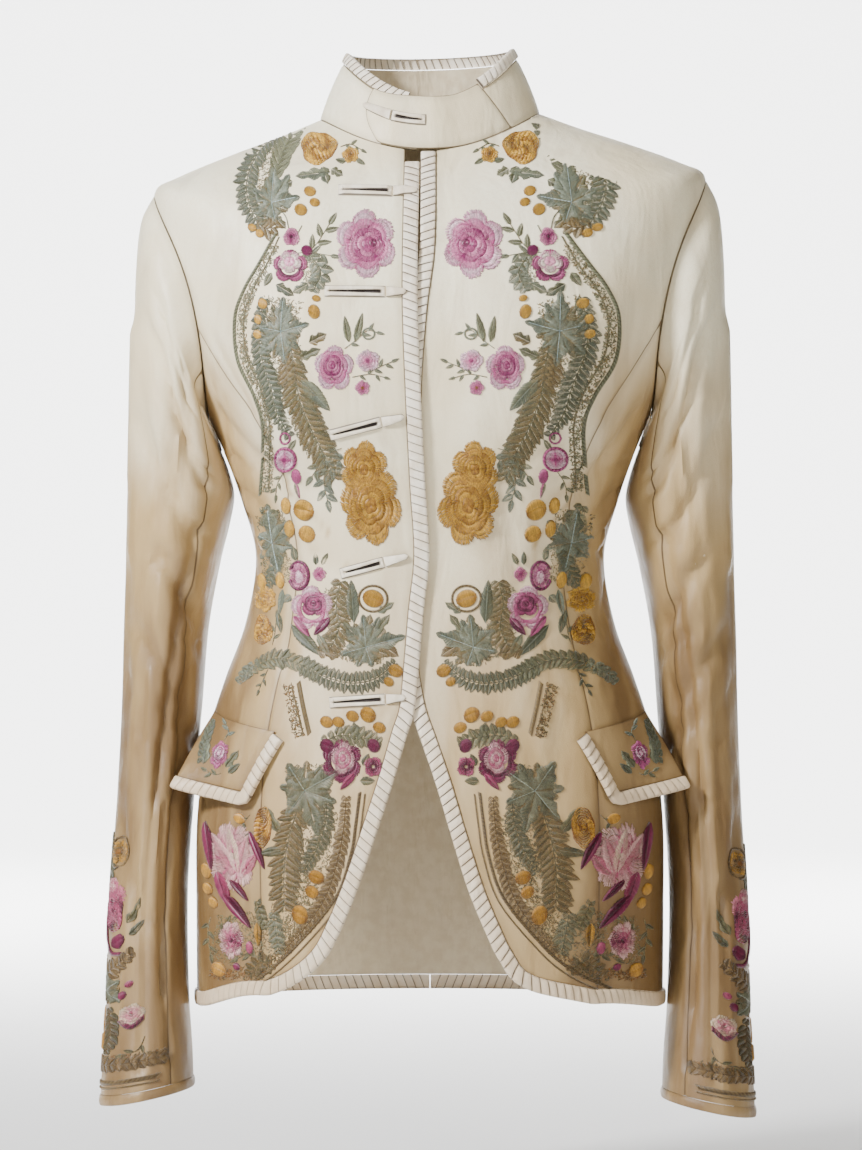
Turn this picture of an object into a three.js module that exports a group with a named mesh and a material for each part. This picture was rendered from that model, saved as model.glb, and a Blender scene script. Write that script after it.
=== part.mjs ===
// A fitted cutaway leather jacket, filled out with no wearer.
// Millimetres, +Z up. +X is the wearer's left, -Y is the garment's front.
// The origin is the middle of the neck seam, where the garment is held up.

import * as THREE from 'three';

// Driving dimensions
const LEATHER = 1.6;
const HALF_GAP = 0.16;
const TRIM_WIDTH = 10;
const TRIM_WALL = 1.8;
const TRIM_LIFT = 0.25;
const PLEAT_RISE = 1.0;
const PLEAT_PITCH = 11.5;
const PLEAT_SLANT = 5;
const FLAP_PLEAT = 10;
const COLLAR_TRIM = 8;
const LAP_DEPTH = 3.6;
const PANEL_TIP = 1.2;
const SHOULDER_TILT = 0.028;
const HEM_SEAM_HEIGHT = -597;

// Levels of the body, counted in rows of BODY_RINGS
const WAIST = 6;
const UNDERARM = 9;
const TIP = 13;
const NECK = 17;

// The body from the hem to the neck seam. front, side and back are heights, half is half the
// width, fore and aft are the depths ahead of and behind the origin, square is the exponent.
const BODY_RINGS = [
  { front: -606, side: -606, back: -606, half: 160.5, fore: 111, aft: 107, square: 2.15 },
  { front: -545, side: -545, back: -545, half: 161, fore: 112, aft: 109, square: 2.15 },
  { front: -480, side: -480, back: -480, half: 160.5, fore: 110, aft: 109, square: 2.15 },
  { front: -425, side: -425, back: -425, half: 153.5, fore: 106, aft: 104, square: 2.15 },
  { front: -385, side: -385, back: -385, half: 141.5, fore: 101, aft: 96, square: 2.15 },
  { front: -345, side: -345, back: -345, half: 127, fore: 96, aft: 88, square: 2.15 },
  { front: -300, side: -300, back: -300, half: 120, fore: 94, aft: 83, square: 2.15 },
  { front: -262, side: -262, back: -262, half: 129.5, fore: 99, aft: 86, square: 2.15 },
  { front: -232, side: -232, back: -232, half: 140, fore: 106, aft: 91, square: 2.15 },
  { front: -203, side: -203, back: -203, half: 152, fore: 112, aft: 96, square: 2.15 },
  { front: -165, side: -168, back: -165, half: 165, fore: 114, aft: 100, square: 2.2 },
  { front: -128, side: -124, back: -125, half: 178, fore: 110, aft: 101, square: 2.25 },
  { front: -99, side: -82, back: -86, half: 186, fore: 103, aft: 97, square: 2.25 },
  { front: -78, side: -45, back: -50, half: 190, fore: 94, aft: 88, square: 2.2 },
  { front: -62, side: -34, back: -31, half: 174, fore: 87, aft: 80, square: 2.15 },
  { front: -49, side: -19.5, back: -13, half: 137, fore: 78, aft: 72, square: 2.1 },
  { front: -38, side: -8, back: 0, half: 104, fore: 69, aft: 66, square: 2.05 },
  { front: -25, side: 3, back: 11, half: 76, fore: 61, aft: 60, square: 2.0 },
];

// Seam between centre front and side front, then the same at the back
const FRONT_PRINCESS = [
  { level: 0, angle: 43 },
  { level: 3, angle: 44.5 },
  { level: 6, angle: 47 },
  { level: 8, angle: 46.5 },
  { level: 9, angle: 49 },
  { level: 9.8, angle: 56 },
  { level: 10.6, angle: 63.8 },
];
const BACK_PRINCESS = [
  { level: 0, angle: 137 },
  { level: 3, angle: 136 },
  { level: 6, angle: 133 },
  { level: 8, angle: 133 },
  { level: 9, angle: 131 },
  { level: 10, angle: 124 },
  { level: 11, angle: 115 },
];

// Armhole: how far its edge swings ahead of and behind the side line, and its roundness
const ARMHOLE = { front: 27, back: 25, round: 0.62 };

// Front edges: the seam of the pleated trim, as the wearer's right and left x at each height
const FRONT_EDGE = [
  { height: -606, right: -175, left: 170 },
  { height: -596, right: -142, left: 133 },
  { height: -590, right: -124, left: 107 },
  { height: -580, right: -99, left: 69 },
  { height: -565, right: -80, left: 55.5 },
  { height: -549, right: -70.5, left: 47.5 },
  { height: -520, right: -58.5, left: 35.5 },
  { height: -485, right: -46.5, left: 24.5 },
  { height: -450, right: -35, left: 14 },
  { height: -416, right: -25, left: 2.5 },
  { height: -402, right: -20.5, left: -2.5 },
  { height: -373, right: -17.5, left: -8 },
  { height: -337, right: -14.5, left: -9 },
  { height: -300, right: -10.7, left: -6 },
  { height: -250, right: -13.5, left: -6 },
  { height: -192, right: -16.2, left: -6 },
  { height: -135, right: -18.3, left: -2 },
  { height: -92, right: -18.3, left: 3.2 },
  { height: -20, right: -17, left: 4.2 },
];

// Bust fullness on each side, made by the princess seams
const BUST = { angle: 33, level: 9.7, rise: 8, spanAngle: 21, spanLevel: 1.6 };

// Large folds of the body: troughs (negative) and ridges between two places
const BODY_FOLDS = [
  { angle: 66, level: 8.9, toAngle: 52, toLevel: 7.2, width: 9, depth: -3.0 },
  { angle: 60, level: 8.0, toAngle: 34, toLevel: 6.6, width: 8, depth: -2.2 },
  { angle: 76, level: 8.2, toAngle: 74, toLevel: 6.4, width: 9, depth: 2.4 },
  { angle: 62, level: 5.6, toAngle: 48, toLevel: 4.2, width: 9, depth: -2.0 },
  { angle: 20, level: 7.6, toAngle: 28, toLevel: 5.6, width: 8, depth: -1.5 },
  { angle: -68, level: 9.0, toAngle: -50, toLevel: 7.4, width: 9, depth: -3.2 },
  { angle: -56, level: 7.9, toAngle: -30, toLevel: 6.9, width: 8, depth: -2.0 },
  { angle: -77, level: 8.1, toAngle: -72, toLevel: 6.3, width: 9, depth: 2.4 },
  { angle: -60, level: 5.5, toAngle: -44, toLevel: 4.4, width: 9, depth: -2.2 },
  { angle: 120, level: 8.6, toAngle: 150, toLevel: 7.0, width: 10, depth: -2.4 },
  { angle: -124, level: 8.8, toAngle: -152, toLevel: 7.2, width: 10, depth: -2.6 },
  { angle: 128, level: 5.8, toAngle: 165, toLevel: 5.2, width: 9, depth: -1.8 },
  { angle: -132, level: 5.9, toAngle: -168, toLevel: 5.0, width: 9, depth: -1.8 },
];
const MM_PER_BODY_DEGREE = 2.4;
const MM_PER_BODY_LEVEL = 38;

// The sleeve from the armhole to the cuff: its outer and inner lines, its middle and half depth
const SLEEVE_RINGS = [
  { outerX: 190, outerZ: -45, innerX: 152, innerZ: -203, middle: -3, depth: 49 },
  { outerX: 199, outerZ: -65, innerX: 152.5, innerZ: -212, middle: -3, depth: 53.5 },
  { outerX: 202.5, outerZ: -98, innerX: 144.8, innerZ: -226, middle: -2, depth: 56 },
  { outerX: 204, outerZ: -145, innerX: 138.5, innerZ: -243, middle: 0, depth: 57 },
  { outerX: 206, outerZ: -195, innerX: 135, innerZ: -260, middle: 3, depth: 57 },
  { outerX: 208, outerZ: -245, innerX: 138, innerZ: -279, middle: 6, depth: 56 },
  { outerX: 210, outerZ: -300, innerX: 145, innerZ: -308, middle: 9, depth: 54 },
  { outerX: 212, outerZ: -355, innerX: 153, innerZ: -352, middle: 12, depth: 51.5 },
  { outerX: 213.5, outerZ: -410, innerX: 157.5, innerZ: -405, middle: 13, depth: 49.5 },
  { outerX: 216.5, outerZ: -470, innerX: 162.5, innerZ: -463, middle: 11, depth: 47.5 },
  { outerX: 221, outerZ: -540, innerX: 167, innerZ: -532, middle: 3, depth: 46 },
  { outerX: 222.5, outerZ: -610, innerX: 166, innerZ: -600, middle: -8, depth: 44.5 },
  { outerX: 225, outerZ: -655, innerX: 163, innerZ: -644, middle: -16, depth: 44 },
  { outerX: 226, outerZ: -683, innerX: 162, innerZ: -670, middle: -20, depth: 44 },
];
const CUFF_LEVEL = 12.72;
const SLEEVE_ROWS = [
  0, 0.45, 1, 1.6, 2.3, 3, 3.7, 4.4, 5.1, 5.8, 6.5, 7.2, 7.9, 8.7, 9.6, 10.6, 11.7, CUFF_LEVEL,
];
const SLEEVE_END = 13;
const SLEEVE_HEAD_END = 3.2;

// How far each sleeve's cuff is lifted, and drawn in towards the body
const SLEEVES = [
  { tag: 'L', side: 1, rise: 0, drawn: 3 },
  { tag: 'R', side: -1, rise: 8, drawn: 0 },
];

// Large folds of the sleeves, in degrees from the outer line and rings from the armhole
const SLEEVE_FOLDS = [
  { angle: 60, level: 2.6, toAngle: 120, toLevel: 4.4, width: 9, depth: -3.0 },
  { angle: 40, level: 4.2, toAngle: 110, toLevel: 5.6, width: 9, depth: -2.6 },
  { angle: 75, level: 6.0, toAngle: 140, toLevel: 6.9, width: 8, depth: -3.0 },
  { angle: 50, level: 7.0, toAngle: 125, toLevel: 7.9, width: 8, depth: -2.6 },
  { angle: 95, level: 8.0, toAngle: 160, toLevel: 8.5, width: 7, depth: -2.2 },
  { angle: 20, level: 3.0, toAngle: 32, toLevel: 6.0, width: 10, depth: 2.2 },
  { angle: 250, level: 5.6, toAngle: 315, toLevel: 6.5, width: 9, depth: -2.4 },
  { angle: 235, level: 7.2, toAngle: 300, toLevel: 7.7, width: 8, depth: -2.4 },
  { angle: 30, level: 9.2, toAngle: 80, toLevel: 10.2, width: 9, depth: -1.8 },
];
const MM_PER_SLEEVE_DEGREE = 0.8;
const MM_PER_SLEEVE_LEVEL = 54;

// Stand collar: its upper edge, and where the strap's slanting seam and the right end lie
const COLLAR_TOP = { half: 56, fore: 50, aft: 56, front: 14, side: 49, back: 50, dip: 1.8 };
const COLLAR_SEAM = { low: 47, high: 33.6 };
const COLLAR_END = -7;
const STRAP = { endLow: -27, endHigh: -38, lift: 3.4, top: 0.93, tip: 5 };

// Pocket flaps on each side: angles and heights of the corners, and how far they stand out
const FLAP = {
  topFront: { angle: 41.5, height: -418 },
  topSide: { angle: 79, height: -406 },
  lowFront: { angle: 50, height: -459 },
  lowSide: { angle: 74, height: -452 },
  lift: 2.2,
  frontStand: 2.5,
  sideStand: 17,
};

// Bound buttonholes of the right front, with the cloth tongue beside each
const BUTTONHOLES = [
  { x: -43.5, z: -54, length: 37, tilt: -2, tongue: 16 },
  { x: -50, z: -123.5, length: 41, tilt: -1, tongue: 13 },
  { x: -49.7, z: -215, length: 36, tilt: 14, tongue: 15 },
  { x: -45.5, z: -308, length: 31, tilt: 15, tongue: 16 },
  { x: -48.6, z: -397, length: 38, tilt: 4, tongue: 13 },
];
const WELT = { height: 8, slit: 2.2, wall: 1.1, lift: 0.7, ends: 4 };
const TONGUE = { root: 7, tip: 3.6, wall: 1.6, lift: 0.8, rise: 1.1 };

// The strap's buttonhole and the tongue that runs back from it, in degrees and shares of height
const STRAP_HOLE = { middle: -12, share: 0.5, length: 24, tongue: 20 };

const LEATHER_FINISH = { color: 0xe3dcc4, roughness: 0.5, metalness: 0 };
const TRIM_FINISH = { color: 0xe2ddd6, roughness: 0.55, metalness: 0 };

const RAD = Math.PI / 180;
const vec = (x, y, z) => new THREE.Vector3(x, y, z);

function hermite(a, b, slopeA, slopeB, t) {
  const t2 = t * t;
  const t3 = t2 * t;
  return a * (2 * t3 - 3 * t2 + 1) + slopeA * (t3 - 2 * t2 + t) + b * (3 * t2 - 2 * t3) + slopeB * (t3 - t2);
}

// One named column of a table of evenly numbered rows, read smoothly between the rows
function columnAt(table, column, position) {
  const last = table.length - 1;
  const i = Math.min(Math.max(Math.floor(position), 0), last - 1);
  const value = (k) => table[Math.min(Math.max(k, 0), last)][column];
  const slopeA = (value(i + 1) - value(i - 1)) / (i > 0 ? 2 : 1);
  const slopeB = (value(i + 2) - value(i)) / (i + 2 <= last ? 2 : 1);
  return hermite(value(i), value(i + 1), slopeA, slopeB, position - i);
}

// A table read between its rows by the value of its key column
function tableAt(table, key, column, at) {
  let i = 0;
  while (i < table.length - 2 && at > table[i + 1][key]) i += 1;
  const slope = (k) => {
    const a = table[Math.max(k - 1, 0)];
    const b = table[Math.min(k + 1, table.length - 1)];
    return (b[column] - a[column]) / (b[key] - a[key]);
  };
  const low = table[i];
  const high = table[i + 1];
  const step = high[key] - low[key];
  const t = Math.min(Math.max((at - low[key]) / step, 0), 1);
  return hermite(low[column], high[column], slope(i) * step, slope(i + 1) * step, t);
}

function smooth(low, high, at) {
  const t = Math.min(Math.max((at - low) / (high - low), 0), 1);
  return t * t * (3 - 2 * t);
}

function foldDepth(folds, angle, level, perDegree, perLevel) {
  let depth = 0;
  for (const fold of folds) {
    const ax = fold.angle * perDegree;
    const ay = fold.level * perLevel;
    const bx = fold.toAngle * perDegree - ax;
    const by = fold.toLevel * perLevel - ay;
    const px = angle * perDegree - ax;
    const py = level * perLevel - ay;
    const along = Math.min(Math.max((px * bx + py * by) / (bx * bx + by * by), 0), 1);
    const away = Math.hypot(px - along * bx, py - along * by);
    depth += fold.depth * Math.exp(-((away / fold.width) ** 2));
  }
  return depth;
}

const signedPower = (value, power) => Math.sign(value) * Math.abs(value) ** power;

function ringPoint(angle, level) {
  const get = (column) => columnAt(BODY_RINGS, column, level);
  const sine = Math.sin(angle * RAD);
  const cosine = Math.cos(angle * RAD);
  const power = 2 / get('square');
  const side = get('side');
  const middle = cosine > 0 ? get('front') : get('back');
  const reach = cosine > 0 ? get('fore') : get('aft');
  const x = get('half') * signedPower(sine, power);
  const tilt = SHOULDER_TILT * x * smooth(WAIST, TIP, level);
  return vec(x, -reach * signedPower(cosine, power), side + (middle - side) * cosine * cosine + tilt);
}

// A normal by central differences of any surface of two parameters
function normalOf(surface, a, b, stepA, stepB) {
  const alongA = surface(a + stepA, b).sub(surface(a - stepA, b));
  const alongB = surface(a, b + stepB).sub(surface(a, b - stepB));
  return alongA.cross(alongB).normalize();
}

const ringNormal = (angle, level) => normalOf(ringPoint, angle, level, 0.5, 0.02);

// The body's outer face: the rings with the bust fullness and the large folds
function bodyPoint(angle, level) {
  const turn = ((((angle + 180) % 360) + 360) % 360) - 180;
  const away = (Math.abs(turn) - BUST.angle) / BUST.spanAngle;
  const above = (level - BUST.level) / BUST.spanLevel;
  const bust = BUST.rise * Math.exp(-away * away - above * above);
  const fold = foldDepth(BODY_FOLDS, turn, level, MM_PER_BODY_DEGREE, MM_PER_BODY_LEVEL);
  return ringPoint(angle, level).addScaledVector(ringNormal(angle, level), bust + fold);
}

// The left front lies under the right one along the closed stretch of the front edge
function lapDepth(point) {
  const across = 1 - smooth(8, 36, point.x);
  const low = smooth(-440, -408, point.z);
  const high = 1 - smooth(-100, -62, point.z);
  return LAP_DEPTH * across * low * high;
}

function frontPoint(side, angle, level) {
  const point = bodyPoint(angle, level);
  if (side < 0) return point;
  return point.addScaledVector(ringNormal(angle, level), -lapDepth(point));
}

const frontNormal = (side, angle, level) => {
  const surface = (a, b) => frontPoint(side, a, b);
  return normalOf(surface, angle, level, 0.4, 0.02);
};

function angleAtX(x, level) {
  const share = Math.min(Math.abs(x) / columnAt(BODY_RINGS, 'half', level), 1);
  return (Math.sign(x) * Math.asin(share ** (columnAt(BODY_RINGS, 'square', level) / 2))) / RAD;
}

function bisect(low, high, tooLow) {
  let a = low;
  let b = high;
  for (let i = 0; i < 40; i += 1) {
    const middle = (a + b) / 2;
    if (tooLow(middle)) a = middle;
    else b = middle;
  }
  return (a + b) / 2;
}

const levelAtHeight = (z) => bisect(0, NECK, (level) => columnAt(BODY_RINGS, 'front', level) < z);
const placeOnFront = (x, z) => {
  const level = bisect(0, NECK, (at) => bodyPoint(angleAtX(x, at), at).z < z);
  return { angle: angleAtX(x, level), level };
};

const edgeColumn = (side) => (side < 0 ? 'right' : 'left');

function frontEdgeAngle(side, level) {
  const height = columnAt(BODY_RINGS, 'front', level);
  return angleAtX(tableAt(FRONT_EDGE, 'height', edgeColumn(side), height), level);
}

const princess = (table, level) => tableAt(table, 'level', 'angle', level);
const halfGapAngle = (level) => HALF_GAP / columnAt(BODY_RINGS, 'half', level) / RAD;

const PRINCESS_TOP = FRONT_PRINCESS[FRONT_PRINCESS.length - 1].level;
const BACK_PRINCESS_TOP = BACK_PRINCESS[BACK_PRINCESS.length - 1].level;
const HEM_LEVEL = levelAtHeight(HEM_SEAM_HEIGHT);

// Where the cutaway edge meets the princess seam, less a narrow tip of the panel
const cutawayLevel = (side) => bisect(0, 3, (level) => (
  Math.abs(frontEdgeAngle(side, level)) > princess(FRONT_PRINCESS, level) - PANEL_TIP
));

// The cutaway edge runs out into the level hem between the princess and the side seam
function cutawayHem(start, share) {
  return start + (HEM_LEVEL - start) * (1 - smooth(0.25, 1, share));
}

// A closed wall between a grid of outer points and the same points moved in.
// Each entry holds the outer point and the direction and amount of the wall's thickness.
function wallGeometry(rows, closed = false) {
  const rowCount = rows.length;
  const columnCount = rows[0].length;
  const positions = [];
  for (const layer of [0, 1]) {
    for (const row of rows) {
      for (const { point, inward } of row) {
        const at = point.clone().addScaledVector(inward, layer);
        positions.push(at.x, at.y, at.z);
      }
    }
  }
  const total = rowCount * columnCount;
  const index = [];
  const id = (layer, i, j) => layer * total + (i % rowCount) * columnCount + j;
  const far = (a, b) => Math.hypot(...[0, 1, 2].map((i) => positions[3 * a + i] - positions[3 * b + i]));
  const quad = (a, b, c, d) => index.push(a, b, c, a, c, d);
  const rowSteps = closed ? rowCount : rowCount - 1;
  for (let i = 0; i < rowSteps; i += 1) {
    for (let j = 0; j < columnCount - 1; j += 1) {
      const [a, b, c, d] = [id(0, i, j), id(0, i, j + 1), id(0, i + 1, j + 1), id(0, i + 1, j)];
      const inner = [a, b, c, d].map((k) => k + total);
      if (far(a, c) < far(b, d)) {
        quad(a, b, c, d);
        quad(inner[0], inner[3], inner[2], inner[1]);
      } else {
        quad(b, c, d, a);
        quad(inner[1], inner[0], inner[3], inner[2]);
      }
    }
    quad(id(0, i + 1, 0), id(1, i + 1, 0), id(1, i, 0), id(0, i, 0));
    const j = columnCount - 1;
    quad(id(0, i, j), id(1, i, j), id(1, i + 1, j), id(0, i + 1, j));
  }
  if (!closed) {
    for (let j = 0; j < columnCount - 1; j += 1) {
      quad(id(0, 0, j), id(1, 0, j), id(1, 0, j + 1), id(0, 0, j + 1));
      const i = rowCount - 1;
      quad(id(0, i, j + 1), id(1, i, j + 1), id(1, i, j), id(0, i, j));
    }
  }
  const geometry = new THREE.BufferGeometry();
  geometry.setAttribute('position', new THREE.Float32BufferAttribute(positions, 3));
  geometry.setIndex(facingOut(positions, index));
  geometry.computeVertexNormals();
  return geometry;
}

// Turns every face over where the closed mesh would hold a negative volume
function facingOut(positions, index) {
  const at = (k) => vec(positions[3 * k], positions[3 * k + 1], positions[3 * k + 2]);
  let volume = 0;
  for (let i = 0; i < index.length; i += 3) {
    volume += at(index[i]).dot(at(index[i + 1]).cross(at(index[i + 2])));
  }
  if (volume > 0) return index;
  const turned = [];
  for (let i = 0; i < index.length; i += 3) turned.push(index[i], index[i + 2], index[i + 1]);
  return turned;
}

const entry = (point, normal, wall = LEATHER) => ({ point, inward: normal.clone().multiplyScalar(-wall) });

const steps = (from, to, count) => (
  Array.from({ length: count + 1 }, (_, i) => from + ((to - from) * i) / count)
);

// Armhole seam, sampled once for the body and the sleeve, from the shoulder tip to the front,
// the underarm, the back and the tip again
const UPPER_STEPS = 6;
const LOWER_STEPS = 5;

// Levels from the shoulder tip down to the princess seam, closer where the seam turns fast
const upperLevels = (topLevel) => steps(0, 1, UPPER_STEPS).map((t) => TIP - (TIP - topLevel) * t ** 1.6);

const armholeSwing = (share, reach) => reach * Math.max(Math.sin(Math.PI * share), 0) ** ARMHOLE.round;
const armholeShare = (level) => (level - UNDERARM) / (TIP - UNDERARM);

function lowerArmhole(reach, topLevel, share) {
  const full = armholeSwing(armholeShare(topLevel), reach);
  const swing = full * share;
  const at = Math.asin(Math.min((swing / reach) ** (1 / ARMHOLE.round), 1)) / Math.PI;
  return { swing, level: UNDERARM + (TIP - UNDERARM) * at };
}

function armholePlaces() {
  const places = [];
  for (const level of upperLevels(PRINCESS_TOP)) {
    places.push({ angle: 90 - armholeSwing(armholeShare(level), ARMHOLE.front), level });
  }
  for (const share of steps(1, 0, LOWER_STEPS).slice(1)) {
    const { swing, level } = lowerArmhole(ARMHOLE.front, PRINCESS_TOP, share);
    places.push({ angle: 90 - swing, level });
  }
  for (const share of steps(0, 1, LOWER_STEPS).slice(1)) {
    const { swing, level } = lowerArmhole(ARMHOLE.back, BACK_PRINCESS_TOP, share);
    places.push({ angle: 90 + swing, level });
  }
  for (const level of upperLevels(BACK_PRINCESS_TOP).reverse().slice(1, -1)) {
    places.push({ angle: 90 + armholeSwing(armholeShare(level), ARMHOLE.back), level });
  }
  return places;
}

const ARMHOLE_PLACES = armholePlaces();
const AROUND = ARMHOLE_PLACES.length;

function sleeveRing({ side, rise, drawn }, t) {
  const get = (column) => columnAt(SLEEVE_RINGS, column, t);
  const lift = (rise * t) / SLEEVE_END;
  const draw = drawn * smooth(7, 12, t);
  const outer = vec(side * (get('outerX') - draw), get('middle'), get('outerZ') + lift);
  const inner = vec(side * (get('innerX') - draw), get('middle'), get('innerZ') + lift);
  const tilt = SHOULDER_TILT * (1 - smooth(0, 5, t));
  outer.z += outer.x * tilt;
  inner.z += inner.x * tilt * 0.5;
  return {
    centre: outer.clone().add(inner).multiplyScalar(0.5),
    across: outer.clone().sub(inner).multiplyScalar(0.5),
    depth: get('depth'),
  };
}

// One sleeve's surface: ellipses along the arm that take the armhole's own shape at the top
function makeSleeve(arm) {
  const { side } = arm;
  const seamPoints = ARMHOLE_PLACES.map(({ angle, level }) => bodyPoint(side * angle, level));
  const first = sleeveRing(arm, 0);
  const ringAt = (ring, turn) => {
    const point = ring.centre.clone().addScaledVector(ring.across, Math.cos(turn));
    point.y -= ring.depth * Math.sin(turn);
    return point;
  };
  const turns = [];
  seamPoints.forEach((point, k) => {
    const from = point.clone().sub(first.centre);
    let turn = Math.atan2(-from.y / first.depth, from.dot(first.across) / first.across.lengthSq());
    if (k === 0) turn = 0;
    while (k > 0 && turn < turns[k - 1]) turn += 2 * Math.PI;
    turns.push(turn);
  });
  const offsets = seamPoints.map((point, k) => point.clone().sub(ringAt(first, turns[k])));
  const plain = (k, t) => {
    const round = Math.floor(k / AROUND);
    const local = k - round * AROUND;
    const i = Math.floor(local) % AROUND;
    const next = (i + 1) % AROUND;
    const share = local - Math.floor(local);
    const high = turns[next] + (next === 0 ? 2 * Math.PI : 0);
    const turn = turns[i] + (high - turns[i]) * share;
    const point = ringAt(sleeveRing(arm, Math.min(Math.max(t, 0), SLEEVE_END)), turn);
    const weight = (1 - Math.min(t / SLEEVE_HEAD_END, 1)) ** 2;
    point.addScaledVector(offsets[i], weight * (1 - share));
    point.addScaledVector(offsets[next], weight * share);
    return { point, degrees: turn / RAD };
  };
  const plainPoint = (k, t) => plain(k, t).point;
  const outward = (k, t) => {
    const low = Math.max(t, 0.03);
    const normal = normalOf(plainPoint, k, low, 0.2, 0.03);
    const ring = sleeveRing(arm, low);
    return normal.dot(plainPoint(k, low).sub(ring.centre)) < 0 ? normal.negate() : normal;
  };
  const surface = (k, t) => {
    const { point, degrees } = plain(k, t);
    const fade = smooth(0.3, 1.4, t);
    const fold = foldDepth(SLEEVE_FOLDS, degrees, t, MM_PER_SLEEVE_DEGREE, MM_PER_SLEEVE_LEVEL);
    return point.addScaledVector(outward(k, t), fold * fade);
  };
  return { side, surface, outward, seamPoints };
}

// The seam's shared directions: the slope of both cut ends, and the way from body to sleeve
function armholeSeam(sleeve) {
  return ARMHOLE_PLACES.map(({ angle, level }, k) => {
    const bodyOut = ringNormal(sleeve.side * angle, level);
    const sleeveOut = sleeve.outward(k, 0);
    const slope = bodyOut.add(sleeveOut).normalize();
    const away = sleeve.surface(k, 0.4).sub(sleeve.seamPoints[k]);
    away.addScaledVector(slope, -away.dot(slope)).normalize();
    return { point: sleeve.seamPoints[k], slope, away };
  });
}

function seamAt(seam, k, shift) {
  const i = Math.floor(k + AROUND) % AROUND;
  const next = (i + 1) % AROUND;
  const share = k + AROUND - Math.floor(k + AROUND);
  const mix = (name) => seam[i][name].clone().lerp(seam[next][name], share);
  const point = mix('point').addScaledVector(mix('away').normalize(), shift * HALF_GAP);
  return entry(point, mix('slope').normalize());
}

// Collar
function collarPoint(angle, share) {
  const base = ringPoint(angle, NECK);
  const sine = Math.sin(angle * RAD);
  const cosine = Math.cos(angle * RAD);
  const reach = cosine > 0 ? COLLAR_TOP.fore : COLLAR_TOP.aft;
  const middle = cosine > 0 ? COLLAR_TOP.front : COLLAR_TOP.back;
  const rise = (middle - COLLAR_TOP.side) * Math.abs(cosine) ** COLLAR_TOP.dip;
  const x = COLLAR_TOP.half * sine;
  const top = vec(x, -reach * cosine, COLLAR_TOP.side + rise + SHOULDER_TILT * x);
  const bow = 1.5 * Math.sin(Math.PI * Math.min(Math.max(share, 0), 1));
  const flat = vec(sine, -cosine, 0).normalize();
  return base.lerp(top, share).addScaledVector(flat, bow);
}

const collarNormal = (angle, share) => normalOf(collarPoint, angle, share, 0.5, 0.02);
const neckSlope = (angle) => ringNormal(angle, NECK).add(collarNormal(angle, 0.03)).normalize();

// Panels of the body
const FRONT_ROWS = 22;
const BACK_ROWS = 17;
const HEM_ROWS = [0, 0.3, 0.6, 0.85, 1, 1.15, 1.3, 1.5, 1.75];
const FRONT_COLUMNS = 7;
const SIDE_COLUMNS = LOWER_STEPS;
const BACK_COLUMNS = 6;
// How far along the armhole seam a panel's corner keeps from its neighbour, in seam places
const SEAM_CORNER = 0.014;
// A side panel's rows run level up to here, then fan out to the armhole
const SHARED_LEVEL = 8;
// Above this level the cutaway hem no longer tilts a side panel's rows
const LEVEL_OF_EVEN_ROWS = 1.6;
const SHOULDER_LEVELS = [13.35, 13.8, 14.5, 15.3, 16.1, NECK];

// Rows lie closer near the hem, where the cutaway edge curves
const spread = (shares, from, to) => shares.map((t) => from + (to - from) * t ** 1.35);
const frontShares = [...HEM_ROWS.map((row) => row / FRONT_ROWS), ...steps(0, 1, FRONT_ROWS).slice(2)];
const frontLevels = (from) => spread(frontShares, from, PRINCESS_TOP);
const backLevels = (from) => spread(steps(0, 1, BACK_ROWS), from, BACK_PRINCESS_TOP);

function centrePanel({ side, seam, innerAngle, table, topLevel, lower, columns, seamIndex, ...form }) {
  const upper = upperLevels(topLevel).reverse().slice(1);
  const rows = [];
  const away = Math.sign(princess(table, 0) - 90);
  const add = (level, outerAngle, outerEntry, slopeAt) => {
    const row = [];
    const inner = innerAngle(level);
    for (let j = 0; j <= columns; j += 1) {
      const angle = inner + ((outerAngle - inner) * j) / columns;
      const at = level === NECK ? level - 0.012 : level;
      const direction = slopeAt ? slopeAt(side * angle) : form.normal(side * angle, at);
      row.push(entry(form.surface(side * angle, at), direction));
    }
    if (outerEntry) row[columns] = outerEntry;
    rows.push(row);
  };
  for (const level of lower.slice(0, -1)) add(level, princess(table, level) + away * halfGapAngle(level));
  add(topLevel, princess(table, topLevel), seamAt(seam, seamIndex(0) + away * SEAM_CORNER, -1));
  upper.forEach((level, i) => {
    const last = i === upper.length - 1;
    const k = seamIndex(i + 1) - (last ? away * SEAM_CORNER : 0);
    const swing = armholeSwing(armholeShare(level), away < 0 ? ARMHOLE.front : ARMHOLE.back);
    add(level, 90 + away * swing, seamAt(seam, k, -1));
  });
  for (const level of SHOULDER_LEVELS) {
    add(level, 90 + away * halfGapAngle(level), null, level === NECK ? neckSlope : null);
  }
  return rows;
}

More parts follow.
